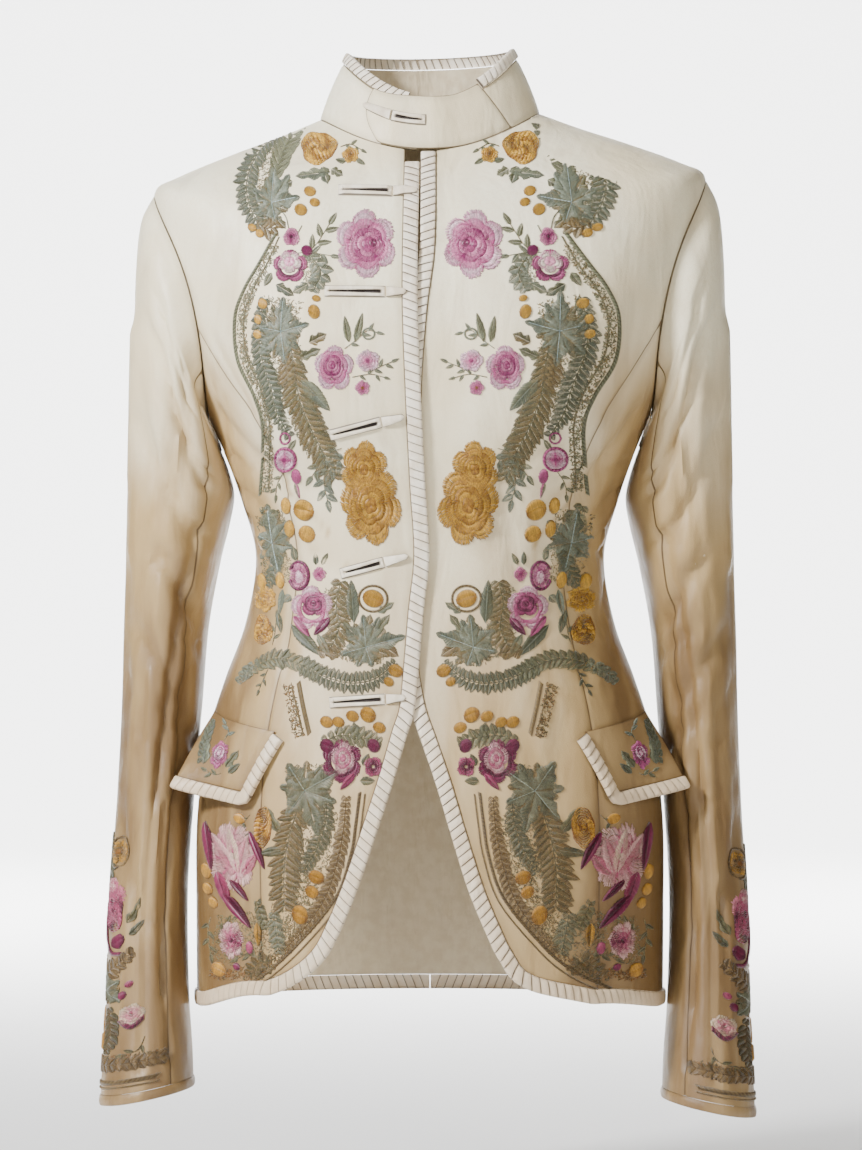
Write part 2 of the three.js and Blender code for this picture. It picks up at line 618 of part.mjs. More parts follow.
function sidePanel({ side, seam, table, topLevel, reach, princessLevels, hemLevel, seamIndex }) {
  const startLevel = princessLevels[0];
  const away = Math.sign(princess(table, 0) - 90);
  const rows = [];
  princessLevels.forEach((princessLevel, i) => {
    const row = [];
    for (let j = 0; j <= SIDE_COLUMNS; j += 1) {
      const share = j / SIDE_COLUMNS;
      const top = lowerArmhole(reach, topLevel, share).level;
      let level = princessLevel;
      if (level > SHARED_LEVEL) {
        level = SHARED_LEVEL + ((level - SHARED_LEVEL) * (top - SHARED_LEVEL)) / (topLevel - SHARED_LEVEL);
      }
      const settled = smooth(startLevel, LEVEL_OF_EVEN_ROWS, princessLevel);
      level += (hemLevel(share) - startLevel) * (1 - settled);
      const gap = halfGapAngle(level) * (j === 0 ? 1 : j === SIDE_COLUMNS ? -1 : 0);
      const angle = 90 + (princess(table, princessLevel) - 90) * share + away * gap;
      row.push(entry(bodyPoint(side * angle, level), ringNormal(side * angle, level)));
    }
    if (i === princessLevels.length - 1) {
      for (let j = 0; j <= SIDE_COLUMNS; j += 1) {
        const inset = j === 0 ? SEAM_CORNER : j === SIDE_COLUMNS ? -SEAM_CORNER : 0;
        row[j] = seamAt(seam, seamIndex(j) + away * inset, -1);
      }
    }
    rows.push(row);
  });
  return rows;
}

// Pleated trim along a path of points, normals and directions away from the panel
function makePath(points, turn) {
  const lengths = [0];
  for (let i = 1; i < points.length; i += 1) {
    lengths.push(lengths[i - 1] + points[i].point.distanceTo(points[i - 1].point));
  }
  const total = lengths[lengths.length - 1];
  const at = (distance) => {
    let i = 0;
    while (i < points.length - 2 && distance > lengths[i + 1]) i += 1;
    const share = (distance - lengths[i]) / (lengths[i + 1] - lengths[i]);
    const point = points[i].point.clone().lerp(points[i + 1].point, share);
    const normal = points[i].normal.clone().lerp(points[i + 1].normal, share).normalize();
    return { point, normal };
  };
  const sample = (distance) => {
    const held = Math.min(Math.max(distance, 0), total);
    const { point, normal } = at(held);
    const tangent = at(Math.min(held + 1.5, total)).point.sub(at(Math.max(held - 1.5, 0)).point);
    const across = tangent.cross(normal).multiplyScalar(turn).normalize();
    return { point, normal, across };
  };
  return { total, sample };
}

function pleatRow(low, high, width, crest) {
  const lift = TRIM_LIFT + (crest ? PLEAT_RISE : 0);
  const near = low.point.clone().addScaledVector(low.across, 2 * HALF_GAP).addScaledVector(low.normal, lift);
  const far = high.point.clone().addScaledVector(high.across, width).addScaledVector(high.normal, lift);
  const wall = TRIM_WALL + lift - TRIM_LIFT;
  return [entry(near, low.normal, wall), entry(far, high.normal, wall)];
}

function pleatRows(path, width, pitch = PLEAT_PITCH) {
  const count = Math.max(Math.round(path.total / pitch), 1) * 2;
  return steps(0, path.total, count).map((distance, i) => {
    const end = i === 0 || i === count;
    const inset = i === 0 ? 2 * HALF_GAP : i === count ? -2 * HALF_GAP : 0;
    const low = path.sample(distance + inset);
    const high = end ? low : path.sample(distance + PLEAT_SLANT);
    return pleatRow(low, high, width, i % 2 === 1);
  });
}

// The front trim follows the panel's own rows down to the princess seam, then the hem
function frontTrimPath(side) {
  const start = cutawayLevel(side);
  const top = side < 0 ? levelAtHeight(-34) : NECK - 0.1;
  const rows = [...frontLevels(start), ...upperLevels(PRINCESS_TOP).reverse(), ...SHOULDER_LEVELS];
  const levels = [top, ...rows.filter((level) => level < top - 0.05).sort((a, b) => b - a)];
  const points = levels.map((level) => {
    const angle = frontEdgeAngle(side, level);
    return { point: frontPoint(side, angle, level), normal: frontNormal(side, angle, level) };
  });
  for (const share of steps(1, 0, SIDE_COLUMNS).slice(1)) {
    const level = cutawayHem(start, share);
    const angle = side * (90 + (princess(FRONT_PRINCESS, start) - 90) * share);
    points.push({ point: bodyPoint(angle, level), normal: ringNormal(angle, level) });
  }
  return makePath(points, side);
}

function backTrimPath(side) {
  const points = steps(90, 180, 60).map((angle) => ({
    point: bodyPoint(side * angle, HEM_LEVEL),
    normal: ringNormal(side * angle, HEM_LEVEL),
  }));
  return makePath(points, side);
}

const garment = new THREE.Group();

function add(name, rows, finish, closed = false) {
  const mesh = new THREE.Mesh(wallGeometry(rows, closed), new THREE.MeshStandardMaterial(finish));
  mesh.name = name;
  garment.add(mesh);
}

function addBody(sleeve) {
  const { side } = sleeve;
  const tag = side > 0 ? 'L' : 'R';
  const seam = armholeSeam(sleeve);
  const start = cutawayLevel(side);
  add(`front_${tag}`, centrePanel({
    side,
    seam,
    innerAngle: (level) => side * frontEdgeAngle(side, level),
    table: FRONT_PRINCESS,
    topLevel: PRINCESS_TOP,
    lower: frontLevels(start),
    columns: FRONT_COLUMNS,
    seamIndex: (i) => UPPER_STEPS - i,
    surface: (angle, level) => frontPoint(side, angle, level),
    normal: (angle, level) => frontNormal(side, angle, level),
  }), LEATHER_FINISH);
  add(`side_front_${tag}`, sidePanel({
    side,
    seam,
    table: FRONT_PRINCESS,
    topLevel: PRINCESS_TOP,
    reach: ARMHOLE.front,
    princessLevels: frontLevels(start),
    hemLevel: (share) => cutawayHem(start, share),
    seamIndex: (j) => UPPER_STEPS + LOWER_STEPS - j,
  }), LEATHER_FINISH);
  add(`side_back_${tag}`, sidePanel({
    side,
    seam,
    table: BACK_PRINCESS,
    topLevel: BACK_PRINCESS_TOP,
    reach: ARMHOLE.back,
    princessLevels: backLevels(HEM_LEVEL),
    hemLevel: () => HEM_LEVEL,
    seamIndex: (j) => UPPER_STEPS + LOWER_STEPS + j,
  }), LEATHER_FINISH);
  add(`back_${tag}`, centrePanel({
    side,
    seam,
    innerAngle: (level) => 180 - halfGapAngle(level),
    table: BACK_PRINCESS,
    topLevel: BACK_PRINCESS_TOP,
    lower: backLevels(HEM_LEVEL),
    columns: BACK_COLUMNS,
    seamIndex: (i) => UPPER_STEPS + 2 * LOWER_STEPS + i,
    surface: bodyPoint,
    normal: ringNormal,
  }), LEATHER_FINISH);
  add(`front_trim_${tag}`, pleatRows(frontTrimPath(side), TRIM_WIDTH), TRIM_FINISH);
  add(`back_hem_trim_${tag}`, pleatRows(backTrimPath(side), TRIM_WIDTH), TRIM_FINISH);
  return seam;
}

// Two-piece sleeve: the upper sleeve outside, the under sleeve inside
const FRONT_SEAM = 7;
const BACK_SEAM = 15;

function sleeveRows(sleeve, seam, from, to) {
  const inset = 0.012;
  const columns = steps(from, to, to - from);
  columns[0] += inset;
  columns[columns.length - 1] -= inset;
  return SLEEVE_ROWS.map((t) => columns.map((k) => {
    if (t === 0) return seamAt(seam, k % AROUND, 1);
    return entry(sleeve.surface(k, t), sleeve.outward(k, t));
  }));
}

function addSleeve(sleeve, seam, tag) {
  add(`under_sleeve_${tag}`, sleeveRows(sleeve, seam, FRONT_SEAM, BACK_SEAM), LEATHER_FINISH);
  add(`upper_sleeve_${tag}`, sleeveRows(sleeve, seam, BACK_SEAM, FRONT_SEAM + AROUND), LEATHER_FINISH);
  const rim = [];
  for (let k = 0; k < AROUND; k += 1) {
    rim.push([CUFF_LEVEL + 0.011, SLEEVE_END].map((t) => {
      const out = sleeve.outward(k, t);
      return entry(sleeve.surface(k, t).addScaledVector(out, 0.5), out, LEATHER + 0.6);
    }));
  }
  add(`cuff_rim_${tag}`, rim, LEATHER_FINISH, true);
}

const trimShare = (angle) => 1 - COLLAR_TRIM / collarPoint(angle, 1).distanceTo(collarPoint(angle, 0));
const seamAngle = (share) => COLLAR_SEAM.low + (COLLAR_SEAM.high - COLLAR_SEAM.low) * share;

// The collar's columns stand over the columns of the panels below
function collarAngles() {
  const left = steps(frontEdgeAngle(1, NECK), 90, FRONT_COLUMNS).filter((a) => a > COLLAR_SEAM.low + 4);
  const behind = steps(90, 270, 2 * BACK_COLUMNS).slice(1);
  const right = steps(270, 360 + frontEdgeAngle(-1, NECK), FRONT_COLUMNS).slice(1);
  return [COLLAR_SEAM.low, ...left, ...behind, ...right, 360 + COLLAR_END];
}

function addCollar() {
  const heights = 3;
  const rows = collarAngles().map((base, k, all) => {
    const row = [];
    const toEnd = (base - all[0]) / (all[all.length - 1] - all[0]);
    for (let i = 0; i <= heights; i += 1) {
      const height = i === 0 ? 0.004 : (i / heights) * (trimShare(base) - 0.006);
      const angle = base + (seamAngle(height) - COLLAR_SEAM.low) * (1 - toEnd) ** 4 + (k === 0 ? 0.2 : 0);
      row.push(entry(collarPoint(angle, height), i === 0 ? neckSlope(angle) : collarNormal(angle, height)));
    }
    return row;
  });
  add('collar_stand', rows, LEATHER_FINISH);
  const trimStart = COLLAR_SEAM.high + 3.4;
  const points = steps(trimStart, 360 + COLLAR_END - 8, 120).map((angle) => ({
    point: collarPoint(angle, trimShare(angle) + 0.003),
    normal: collarNormal(angle, trimShare(angle)),
  }));
  add('collar_trim', pleatRows(makePath(points, -1), COLLAR_TRIM - 0.5), TRIM_FINISH);

  const strapColumns = 14;
  const strap = steps(0, 1, strapColumns).map((along) => steps(0, 1, heights).map((across) => {
    const { point, normal, angle } = strapPoint(along, across);
    return entry(point, across === 0 && angle > 20 ? neckSlope(angle) : normal);
  }));
  add('collar_strap', strap, LEATHER_FINISH);
}

// The strap starts at the slanting seam, crosses the front and lies over the right end
function strapPoint(along, across) {
  const from = seamAngle(across * STRAP.top) - 0.2;
  const bulge = STRAP.tip * Math.sin(Math.PI * across) * along ** 6;
  const to = STRAP.endLow + (STRAP.endHigh - STRAP.endLow) * across - bulge;
  const angle = from + (to - from) * along;
  const share = 0.012 + (STRAP.top - 0.012) * across * (1 - 0.12 * smooth(-5, -38, angle));
  return { ...strapSpot(angle, share, 0), angle };
}

function strapSpot(angle, share, lift) {
  const normal = collarNormal(angle, share);
  const stand = STRAP.lift * (1 - smooth(-1, 20, angle)) + lift;
  return { point: collarPoint(angle, share).addScaledVector(normal, stand), normal };
}

// Pocket flaps
function flapSurface(side) {
  const corner = (name) => ({ angle: FLAP[name].angle, level: levelAtHeight(FLAP[name].height) });
  const [topFront, topSide, lowFront, lowSide] = ['topFront', 'topSide', 'lowFront', 'lowSide'].map(corner);
  const mix = (a, b, t) => a + (b - a) * t;
  return (along, down) => {
    const value = (name) => mix(
      mix(topFront[name], topSide[name], along),
      mix(lowFront[name], lowSide[name], along),
      down,
    );
    const angle = side * value('angle');
    const level = value('level');
    const stand = FLAP.frontStand + FLAP.sideStand * along * along;
    const lift = FLAP.lift + stand * Math.max(down, 0) ** 1.3;
    return ringPoint(angle, level).addScaledVector(ringNormal(angle, level), lift);
  };
}

function addFlap(side, tag) {
  const surface = flapSurface(side);
  const normal = (along, down) => {
    const out = normalOf(surface, along, down, 0.02, 0.02);
    return out.y > 0 ? out.negate() : out;
  };
  const rows = steps(0, 1, 4).map((down) => steps(0, 1, 6).map((along) => (
    entry(surface(along, down), normal(along, down))
  )));
  add(`pocket_flap_${tag}`, rows, LEATHER_FINISH);
  const spot = (along, down) => ({ point: surface(along, down), normal: normal(along, down) });
  const front = makePath(steps(0.03, 1, 20).map((down) => spot(0, down)), side);
  const low = makePath(steps(0, 1, 30).map((along) => spot(along, 1)), side);
  const width = TRIM_WIDTH - 1;
  const down = pleatRows(front, width, FLAP_PLEAT);
  const out = pleatRows(low, width, FLAP_PLEAT);
  const corner = low.sample(0);
  corner.across.add(front.sample(front.total).across).multiplyScalar(0.72);
  const turn = pleatRow(corner, corner, width, false);
  add(`flap_trim_${tag}`, [...down.slice(0, -1), turn, ...out.slice(1)], TRIM_FINISH);
}

// Bound buttonholes and the cloth tongues beside them
function holeFrame(surfaceAt, { x, z, length, tilt }) {
  const along = vec(Math.cos(tilt * RAD), 0, Math.sin(tilt * RAD));
  const up = vec(-Math.sin(tilt * RAD), 0, Math.cos(tilt * RAD));
  const at = (a, b, lift) => {
    const { point, normal } = surfaceAt(x + along.x * a + up.x * b, z + along.z * a + up.z * b);
    return { point: point.addScaledVector(normal, lift), normal };
  };
  return { at, length };
}

function addButtonhole(name, frame) {
  const { at, length } = frame;
  const halfLength = length / 2;
  const halfHeight = WELT.height / 2;
  const slitHalf = halfLength - WELT.ends;
  const slitUp = WELT.slit / 2;
  const pieces = 5;
  const loop = [];
  for (const t of steps(-1, 1, pieces)) loop.push([t * halfLength, -halfHeight, t * slitHalf, -slitUp]);
  for (const t of steps(1, -1, pieces)) loop.push([t * halfLength, halfHeight, t * slitHalf, slitUp]);
  const rows = loop.map(([a, b, c, d]) => [
    entry(at(a, b, WELT.lift + WELT.wall).point, at(a, b, 0).normal, WELT.wall),
    entry(at(c, d, WELT.lift + WELT.wall).point, at(c, d, 0).normal, WELT.wall),
  ]);
  add(name, rows, LEATHER_FINISH, true);
}

function addTongue(name, frame, tongue) {
  const { at, length } = frame;
  const start = length / 2 + 0.5;
  const rows = steps(0, 1, 4).map((t) => {
    const half = (TONGUE.root + (TONGUE.tip - TONGUE.root) * t) / 2;
    const a = start + tongue * t;
    return [-half, half].map((b) => {
      const spot = at(a, b, TONGUE.lift + TONGUE.wall + TONGUE.rise * smooth(0, 0.5, t));
      return entry(spot.point, spot.normal, TONGUE.wall);
    });
  });
  add(name, rows, LEATHER_FINISH);
}

function addFasteners() {
  const onFront = (x, z) => {
    const { angle, level } = placeOnFront(x, z);
    return { point: bodyPoint(angle, level), normal: frontNormal(-1, angle, level) };
  };
  BUTTONHOLES.forEach((hole, i) => {
    const frame = holeFrame(onFront, hole);
    addButtonhole(`buttonhole_${i + 1}`, frame);
    addTongue(`tongue_${i + 1}`, frame, hole.tongue);
  });
  addButtonhole('buttonhole_strap', strapFrame());
  addTongue('tongue_strap', strapFrame(), STRAP_HOLE.tongue);
}

// Places on the strap, with lengths that run back over the wearer's right
function strapFrame() {
  const middle = collarPoint(STRAP_HOLE.middle, STRAP_HOLE.share);
  const perDegree = middle.distanceTo(collarPoint(STRAP_HOLE.middle + 1, STRAP_HOLE.share));
  const height = collarPoint(STRAP_HOLE.middle, 1).distanceTo(collarPoint(STRAP_HOLE.middle, 0));
  const at = (a, b, lift) => (
    strapSpot(STRAP_HOLE.middle - a / perDegree, STRAP_HOLE.share + b / height, lift)
  );
  return { at, length: STRAP_HOLE.length };
}

const sleeves = SLEEVES.map((row) => ({ ...row, sleeve: makeSleeve(row) }));
for (const { tag, sleeve } of sleeves) {
  const seam = addBody(sleeve);
  addSleeve(sleeve, seam, tag);
  addFlap(sleeve.side, tag);
}
addCollar();
addFasteners();

export default garment;
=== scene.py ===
# %% [markdown]
# # A fitted leather jacket with a cutaway front
# The real jacket is cut from thin, pale leather. Each half has a centre front, a side front, a
# side back and a back, and a sleeve in two pieces. A stand collar closes with a strap, narrow
# pleated leather borders every free edge, and thread embroidery covers the fronts.
# This lesson rebuilds it around an imported model of plain solids. Every visible piece is a surface worked
# out with numpy on the form of its solid. First we load that model.

import math

import bpy
import numpy as np
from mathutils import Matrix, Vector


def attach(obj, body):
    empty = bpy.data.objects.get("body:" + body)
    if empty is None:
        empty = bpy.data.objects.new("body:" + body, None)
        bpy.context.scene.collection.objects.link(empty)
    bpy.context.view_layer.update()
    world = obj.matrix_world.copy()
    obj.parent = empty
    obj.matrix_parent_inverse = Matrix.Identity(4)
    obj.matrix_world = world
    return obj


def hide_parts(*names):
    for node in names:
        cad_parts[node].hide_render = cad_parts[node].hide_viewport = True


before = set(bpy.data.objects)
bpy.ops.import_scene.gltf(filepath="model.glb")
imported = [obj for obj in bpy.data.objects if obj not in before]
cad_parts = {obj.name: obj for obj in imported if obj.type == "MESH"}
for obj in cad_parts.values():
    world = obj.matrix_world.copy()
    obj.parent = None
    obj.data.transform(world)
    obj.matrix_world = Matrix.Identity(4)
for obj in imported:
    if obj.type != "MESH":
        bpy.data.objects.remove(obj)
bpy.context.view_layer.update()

# %% [markdown]
# ## Small tools for curves and folds
# A tailor drafts with a few measured stations and draws fair curves between them. The helpers
# below do the same: a short table holds the stations, and a smooth curve runs through its rows.
# A crease is a soft trough between two places, deepest along its line. Lengths are millimetres
# until a mesh is made, because that is how a pattern is drafted.

# %% Curves through table rows
MM = 0.001
SIDES = (("L", 1), ("R", -1))


def smooth(low, high, at):
    """0 before low, 1 after high, and 3t squared less 2t cubed between them."""
    t = np.clip((at - low) / (high - low), 0, 1)
    return t * t * (3 - 2 * t)


def hermite(a, b, slope_a, slope_b, t):
    """The cubic from a to b that leaves with slope_a and arrives with slope_b."""
    t2, t3 = t * t, t * t * t
    return (a * (2 * t3 - 3 * t2 + 1) + slope_a * (t3 - 2 * t2 + t) + b * (3 * t2 - 2 * t3)
            + slope_b * (t3 - t2))


def read_rows(column, place):
    """One column of evenly numbered rows, read smoothly at any place between them."""
    column = np.asarray(column, float)
    last = len(column) - 1
    place = np.asarray(place, float)
    i = np.clip(np.floor(place).astype(int), 0, last - 1)
    row = lambda k: column[np.clip(k, 0, last)]
    slope_a = (row(i + 1) - row(i - 1)) / np.where(i > 0, 2, 1)
    slope_b = (row(i + 2) - row(i)) / np.where(i + 2 <= last, 2, 1)
    return hermite(row(i), row(i + 1), slope_a, slope_b, place - i)


def read_keyed(keys, column, at):
    """A column read smoothly between rows that stand at the values of a key column."""
    keys, column, at = (np.asarray(v, float) for v in (keys, column, at))
    after = np.minimum(np.arange(len(keys)) + 1, len(keys) - 1)
    before = np.maximum(np.arange(len(keys)) - 1, 0)
    slopes = (column[after] - column[before]) / (keys[after] - keys[before])
    i = np.clip(np.searchsorted(keys[1:-1], at, side="left"), 0, len(keys) - 2)
    step = keys[i + 1] - keys[i]
    t = np.clip((at - keys[i]) / step, 0, 1)
    return hermite(column[i], column[i + 1], slopes[i] * step, slopes[i + 1] * step, t)


def crease_depth(creases, a, b, mm_a, mm_b):
    """The sum of all creases: each is its depth times e to the minus (distance over width) squared."""
    total = np.zeros(np.broadcast(a, b).shape)
    for a0, b0, a1, b1, width, depth in creases:
        ux, uy = (a1 - a0) * mm_a, (b1 - b0) * mm_b
        px, py = (a - a0) * mm_a, (b - b0) * mm_b
        along = np.clip((px * ux + py * uy) / (ux * ux + uy * uy), 0, 1)
        away = np.hypot(px - along * ux, py - along * uy)
        total = total + depth * np.exp(-((away / width) ** 2))
    return total


def unit(vectors):
    """Vectors brought to length one."""
    return vectors / np.maximum(np.linalg.norm(vectors, axis=-1, keepdims=True), 1e-9)


def normal_of(surface, a, b, step_a, step_b):
    """The surface's normal: the cross product of central differences along its two parameters."""
    return unit(np.cross(surface(a + step_a, b) - surface(a - step_a, b),
                         surface(a, b + step_b) - surface(a, b - step_b)))


print("curve tools ready")

# %% [markdown]
# ## The body's form
# The body is a stack of rounded rings from the hem up to the neck seam, each a superellipse with
# its own half width and its own depth ahead and behind. An angle runs round the ring, from 0 at
# the centre front to 90 at the wearer's left side and 180 at the back. A level counts the rings.
# The long princess seams shape the bust, so a soft rise sits beside each of them.

# %% Rings of the body
BODY = dict(
    front=[-606, -545, -480, -425, -385, -345, -300, -262, -232, -203, -165, -128, -99, -78, -62, -49,
           -38, -25],
    side=[-606, -545, -480, -425, -385, -345, -300, -262, -232, -203, -168, -124, -82, -45, -34, -19.5,
          -8, 3],
    back=[-606, -545, -480, -425, -385, -345, -300, -262, -232, -203, -165, -125, -86, -50, -31, -13, 0, 11],
    half=[160.5, 161, 160.5, 153.5, 141.5, 127, 120, 129.5, 140, 152, 165, 178, 186, 190, 174, 137, 104, 76],
    fore=[111, 112, 110, 106, 101, 96, 94, 99, 106, 112, 114, 110, 103, 94, 87, 78, 69, 61],
    aft=[107, 109, 109, 104, 96, 88, 83, 86, 91, 96, 100, 101, 97, 88, 80, 72, 66, 60],
    square=[2.15] * 10 + [2.2, 2.25, 2.25, 2.2, 2.15, 2.1, 2.05, 2.0],
)
WAIST, UNDERARM, TIP, NECK = 6, 9, 13, 17
SHOULDER_TILT = 0.028
FRONT_PRINCESS = dict(level=[0, 3, 6, 8, 9, 9.8, 10.6], angle=[43, 44.5, 47, 46.5, 49, 56, 63.8])
BACK_PRINCESS = dict(level=[0, 3, 6, 8, 9, 10, 11], angle=[137, 136, 133, 133, 131, 124, 115])
ARMHOLE = dict(front=27, back=25, round=0.62)
FRONT_EDGE = dict(
    height=[-606, -596, -590, -580, -565, -549, -520, -485, -450, -416, -402, -373, -337, -300, -250,
            -192, -135, -92, -20],
    right=[-175, -142, -124, -99, -80, -70.5, -58.5, -46.5, -35, -25, -20.5, -17.5, -14.5, -10.7, -13.5,
           -16.2, -18.3, -18.3, -17],
    left=[170, 133, 107, 69, 55.5, 47.5, 35.5, 24.5, 14, 2.5, -2.5, -8, -9, -6, -6, -6, -2, 3.2, 4.2],
)
BUST = dict(angle=33, level=9.7, rise=8, span_angle=21, span_level=1.6)
LAP_DEPTH = 3.6
HEM_HEIGHT = -597
print(len(BODY["front"]), "rings, hem to neck", BODY["front"][0], "to", BODY["front"][-1], "mm")

# %% [markdown]
# Soft leather on a close fit creases where it is pulled in: from the underarm to the waist, across
# the waist at the sides and above the hip. The first table has the large folds of the solids, and
# the second the finer ones, each with its own length, width and depth, on hidden sides too.

# %% Creases of the body: angle and level of both ends, width and depth
LARGE_FOLDS = [
    (66, 8.9, 52, 7.2, 9, -3.0), (60, 8.0, 34, 6.6, 8, -2.2), (76, 8.2, 74, 6.4, 9, 2.4),
    (62, 5.6, 48, 4.2, 9, -2.0), (20, 7.6, 28, 5.6, 8, -1.5), (-68, 9.0, -50, 7.4, 9, -3.2),
    (-56, 7.9, -30, 6.9, 8, -2.0), (-77, 8.1, -72, 6.3, 9, 2.4), (-60, 5.5, -44, 4.4, 9, -2.2),
    (120, 8.6, 150, 7.0, 10, -2.4), (-124, 8.8, -152, 7.2, 10, -2.6), (128, 5.8, 165, 5.2, 9, -1.8),
    (-132, 5.9, -168, 5.0, 9, -1.8),
]
FINE_CREASES = [
    (80, 7.4, 60, 6.7, 4, -1.3), (82, 6.7, 66, 6.2, 3.5, -1.1), (79, 6.1, 57, 5.9, 4, -1.2),
    (81, 5.5, 64, 5.0, 4.5, -1.0), (74, 7.9, 58, 7.6, 3.5, -0.9), (50, 7.1, 36, 6.2, 4, -0.9),
    (44, 6.2, 30, 5.7, 4, -0.7), (70, 4.6, 56, 3.9, 5, -0.9), (26, 6.4, 12, 6.1, 5, -0.6),
    (38, 9.0, 26, 7.8, 6, -0.8), (58, 10.2, 50, 9.0, 5, -0.8), (34, 3.4, 26, 1.6, 6, -0.6),
    (-81, 7.5, -62, 6.8, 4, -1.3), (-82, 6.8, -64, 6.4, 3.5, -1.2), (-78, 6.2, -58, 5.8, 4, -1.1),
    (-82, 5.6, -63, 5.1, 4.5, -1.0), (-73, 8.1, -59, 7.6, 3.5, -0.9), (-48, 7.2, -34, 6.4, 4, -0.9),
    (-42, 6.1, -28, 5.8, 4, -0.8), (-69, 4.7, -54, 4.0, 5, -0.9), (-27, 6.6, -14, 6.0, 5, -0.6),
    (-36, 8.9, -25, 7.7, 6, -0.8), (-56, 10.3, -49, 9.2, 5, -0.8), (-33, 3.2, -27, 1.7, 6, -0.6),
    (96, 7.6, 118, 6.9, 4.5, -1.2), (98, 6.6, 124, 6.2, 4, -1.1), (100, 5.8, 122, 5.4, 4.5, -1.0),
    (140, 6.6, 166, 6.3, 5, -0.9), (138, 9.4, 160, 8.4, 6, -0.9), (112, 10.4, 124, 9.0, 5, -0.9),
    (-97, 7.5, -120, 7.0, 4.5, -1.2), (-99, 6.7, -122, 6.1, 4, -1.1), (-101, 5.7, -124, 5.5, 4.5, -1.0),
    (-142, 6.5, -168, 6.2, 5, -0.9), (-136, 9.3, -162, 8.5, 6, -0.9), (-113, 10.5, -126, 9.1, 5, -0.9),
]
MM_PER_DEGREE, MM_PER_LEVEL = 2.4, 38
FINE_DEPTH = 2.1
print(len(LARGE_FOLDS), "large folds and", len(FINE_CREASES), "fine creases")


# %% The body's surface
def ring_point(angle, level):
    """A superellipse ring: x is half times sine to the power, y minus the depth times cosine to the
    power, and z turns from the side height to the front or back height with cosine squared."""
    sine, cosine = np.sin(np.radians(angle)), np.cos(np.radians(angle))
    power = 2 / read_rows(BODY["square"], level)
    ahead = cosine > 0
    side = read_rows(BODY["side"], level)
    middle = np.where(ahead, read_rows(BODY["front"], level), read_rows(BODY["back"], level))
    reach = np.where(ahead, read_rows(BODY["fore"], level), read_rows(BODY["aft"], level))
    x = read_rows(BODY["half"], level) * np.sign(sine) * np.abs(sine) ** power
    y = -reach * np.sign(cosine) * np.abs(cosine) ** power
    z = side + (middle - side) * cosine**2 + SHOULDER_TILT * x * smooth(WAIST, TIP, level)
    return np.stack(np.broadcast_arrays(x, y, z), axis=-1)


def ring_normal(angle, level):
    """The ring surface's own normal, pointing away from the body."""
    return normal_of(ring_point, angle, level, 0.5, 0.02)


def body_point(angle, level):
    """The ring surface moved out by the bust's bell curve and moved in by every crease."""
    turn = (np.asarray(angle, float) + 180) % 360 - 180
    away = (np.abs(turn) - BUST["angle"]) / BUST["span_angle"]
    above = (level - BUST["level"]) / BUST["span_level"]
    spread = (turn, level, MM_PER_DEGREE, MM_PER_LEVEL)
    rise = BUST["rise"] * np.exp(-(away**2) - above**2)
    rise = rise + crease_depth(LARGE_FOLDS, *spread)
    rise = rise + FINE_DEPTH * crease_depth(FINE_CREASES, *spread)
    return ring_point(angle, level) + ring_normal(angle, level) * rise[..., None]


def lap_depth(point):
    """How far the left front lies under the right one, along the closed part of the edge."""
    across = 1 - smooth(8, 36, point[..., 0])
    return LAP_DEPTH * across * smooth(-440, -408, point[..., 2]) * (1 - smooth(-100, -62, point[..., 2]))


def front_point(side, angle, level):
    """The body surface, with the left front sunk by its lap."""
    point = body_point(angle, level)
    if side < 0:
        return point
    return point - ring_normal(angle, level) * lap_depth(point)[..., None]


def front_normal(side, angle, level):
    """The normal of a front by central differences."""
    return normal_of(lambda a, b: front_point(side, a, b), angle, level, 0.4, 0.02)


print("waist is", round(2 * float(ring_point(90, WAIST)[0])), "mm wide")


# %% Seam lines in angle and level
def angle_at_x(x, level):
    """The ring angle whose x is the one asked for: the superellipse solved for its sine."""
    share = np.minimum(np.abs(x) / read_rows(BODY["half"], level), 1)
    return np.sign(x) * np.degrees(np.arcsin(share ** (read_rows(BODY["square"], level) / 2)))


def edge_angle(side, level):
    """Where the front trim's seam crosses a level."""
    height = read_rows(BODY["front"], level)
    column = FRONT_EDGE["right" if side < 0 else "left"]
    return angle_at_x(read_keyed(FRONT_EDGE["height"], column, height), level)


def princess(table, level):
    """The angle of a princess seam at a level."""
    return read_keyed(table["level"], table["angle"], level)


FRONT_TOP, BACK_TOP = FRONT_PRINCESS["level"][-1], BACK_PRINCESS["level"][-1]
HALF_GAP = 0.04
LEVELS = np.linspace(0, NECK, 6801)


def level_at_height(z):
    """The level whose centre front stands at a height."""
    return np.interp(z, read_rows(BODY["front"], LEVELS), LEVELS)


HEM_LEVEL = float(level_at_height(HEM_HEIGHT))


def cutaway_level(side):
    """The first level where the cutaway edge comes inside the princess seam by 1.2 degrees."""
    low = LEVELS[LEVELS < 3]
    inside = np.abs(edge_angle(side, low)) <= princess(FRONT_PRINCESS, low) - 1.2
    return float(low[np.argmax(inside)])


def cutaway_hem(start, share):
    """The cutaway edge running out from the princess seam into the level hem."""
    return start + (HEM_LEVEL - start) * (1 - smooth(0.25, 1, share))


def armhole_swing(level, reach):
    """How far the armhole edge swings from the side line: reach times sine to a power."""
    share = (np.asarray(level, float) - UNDERARM) / (TIP - UNDERARM)
    return reach * np.maximum(np.sin(np.pi * share), 0) ** ARMHOLE["round"]


def armhole_low(reach, top, share):
    """The lower armhole by its share of the full swing at the princess seam, solved for the level."""
    sine = (armhole_swing(top, reach) * share / reach) ** (1 / ARMHOLE["round"])
    return UNDERARM + (TIP - UNDERARM) * np.arcsin(np.minimum(sine, 1)) / np.pi


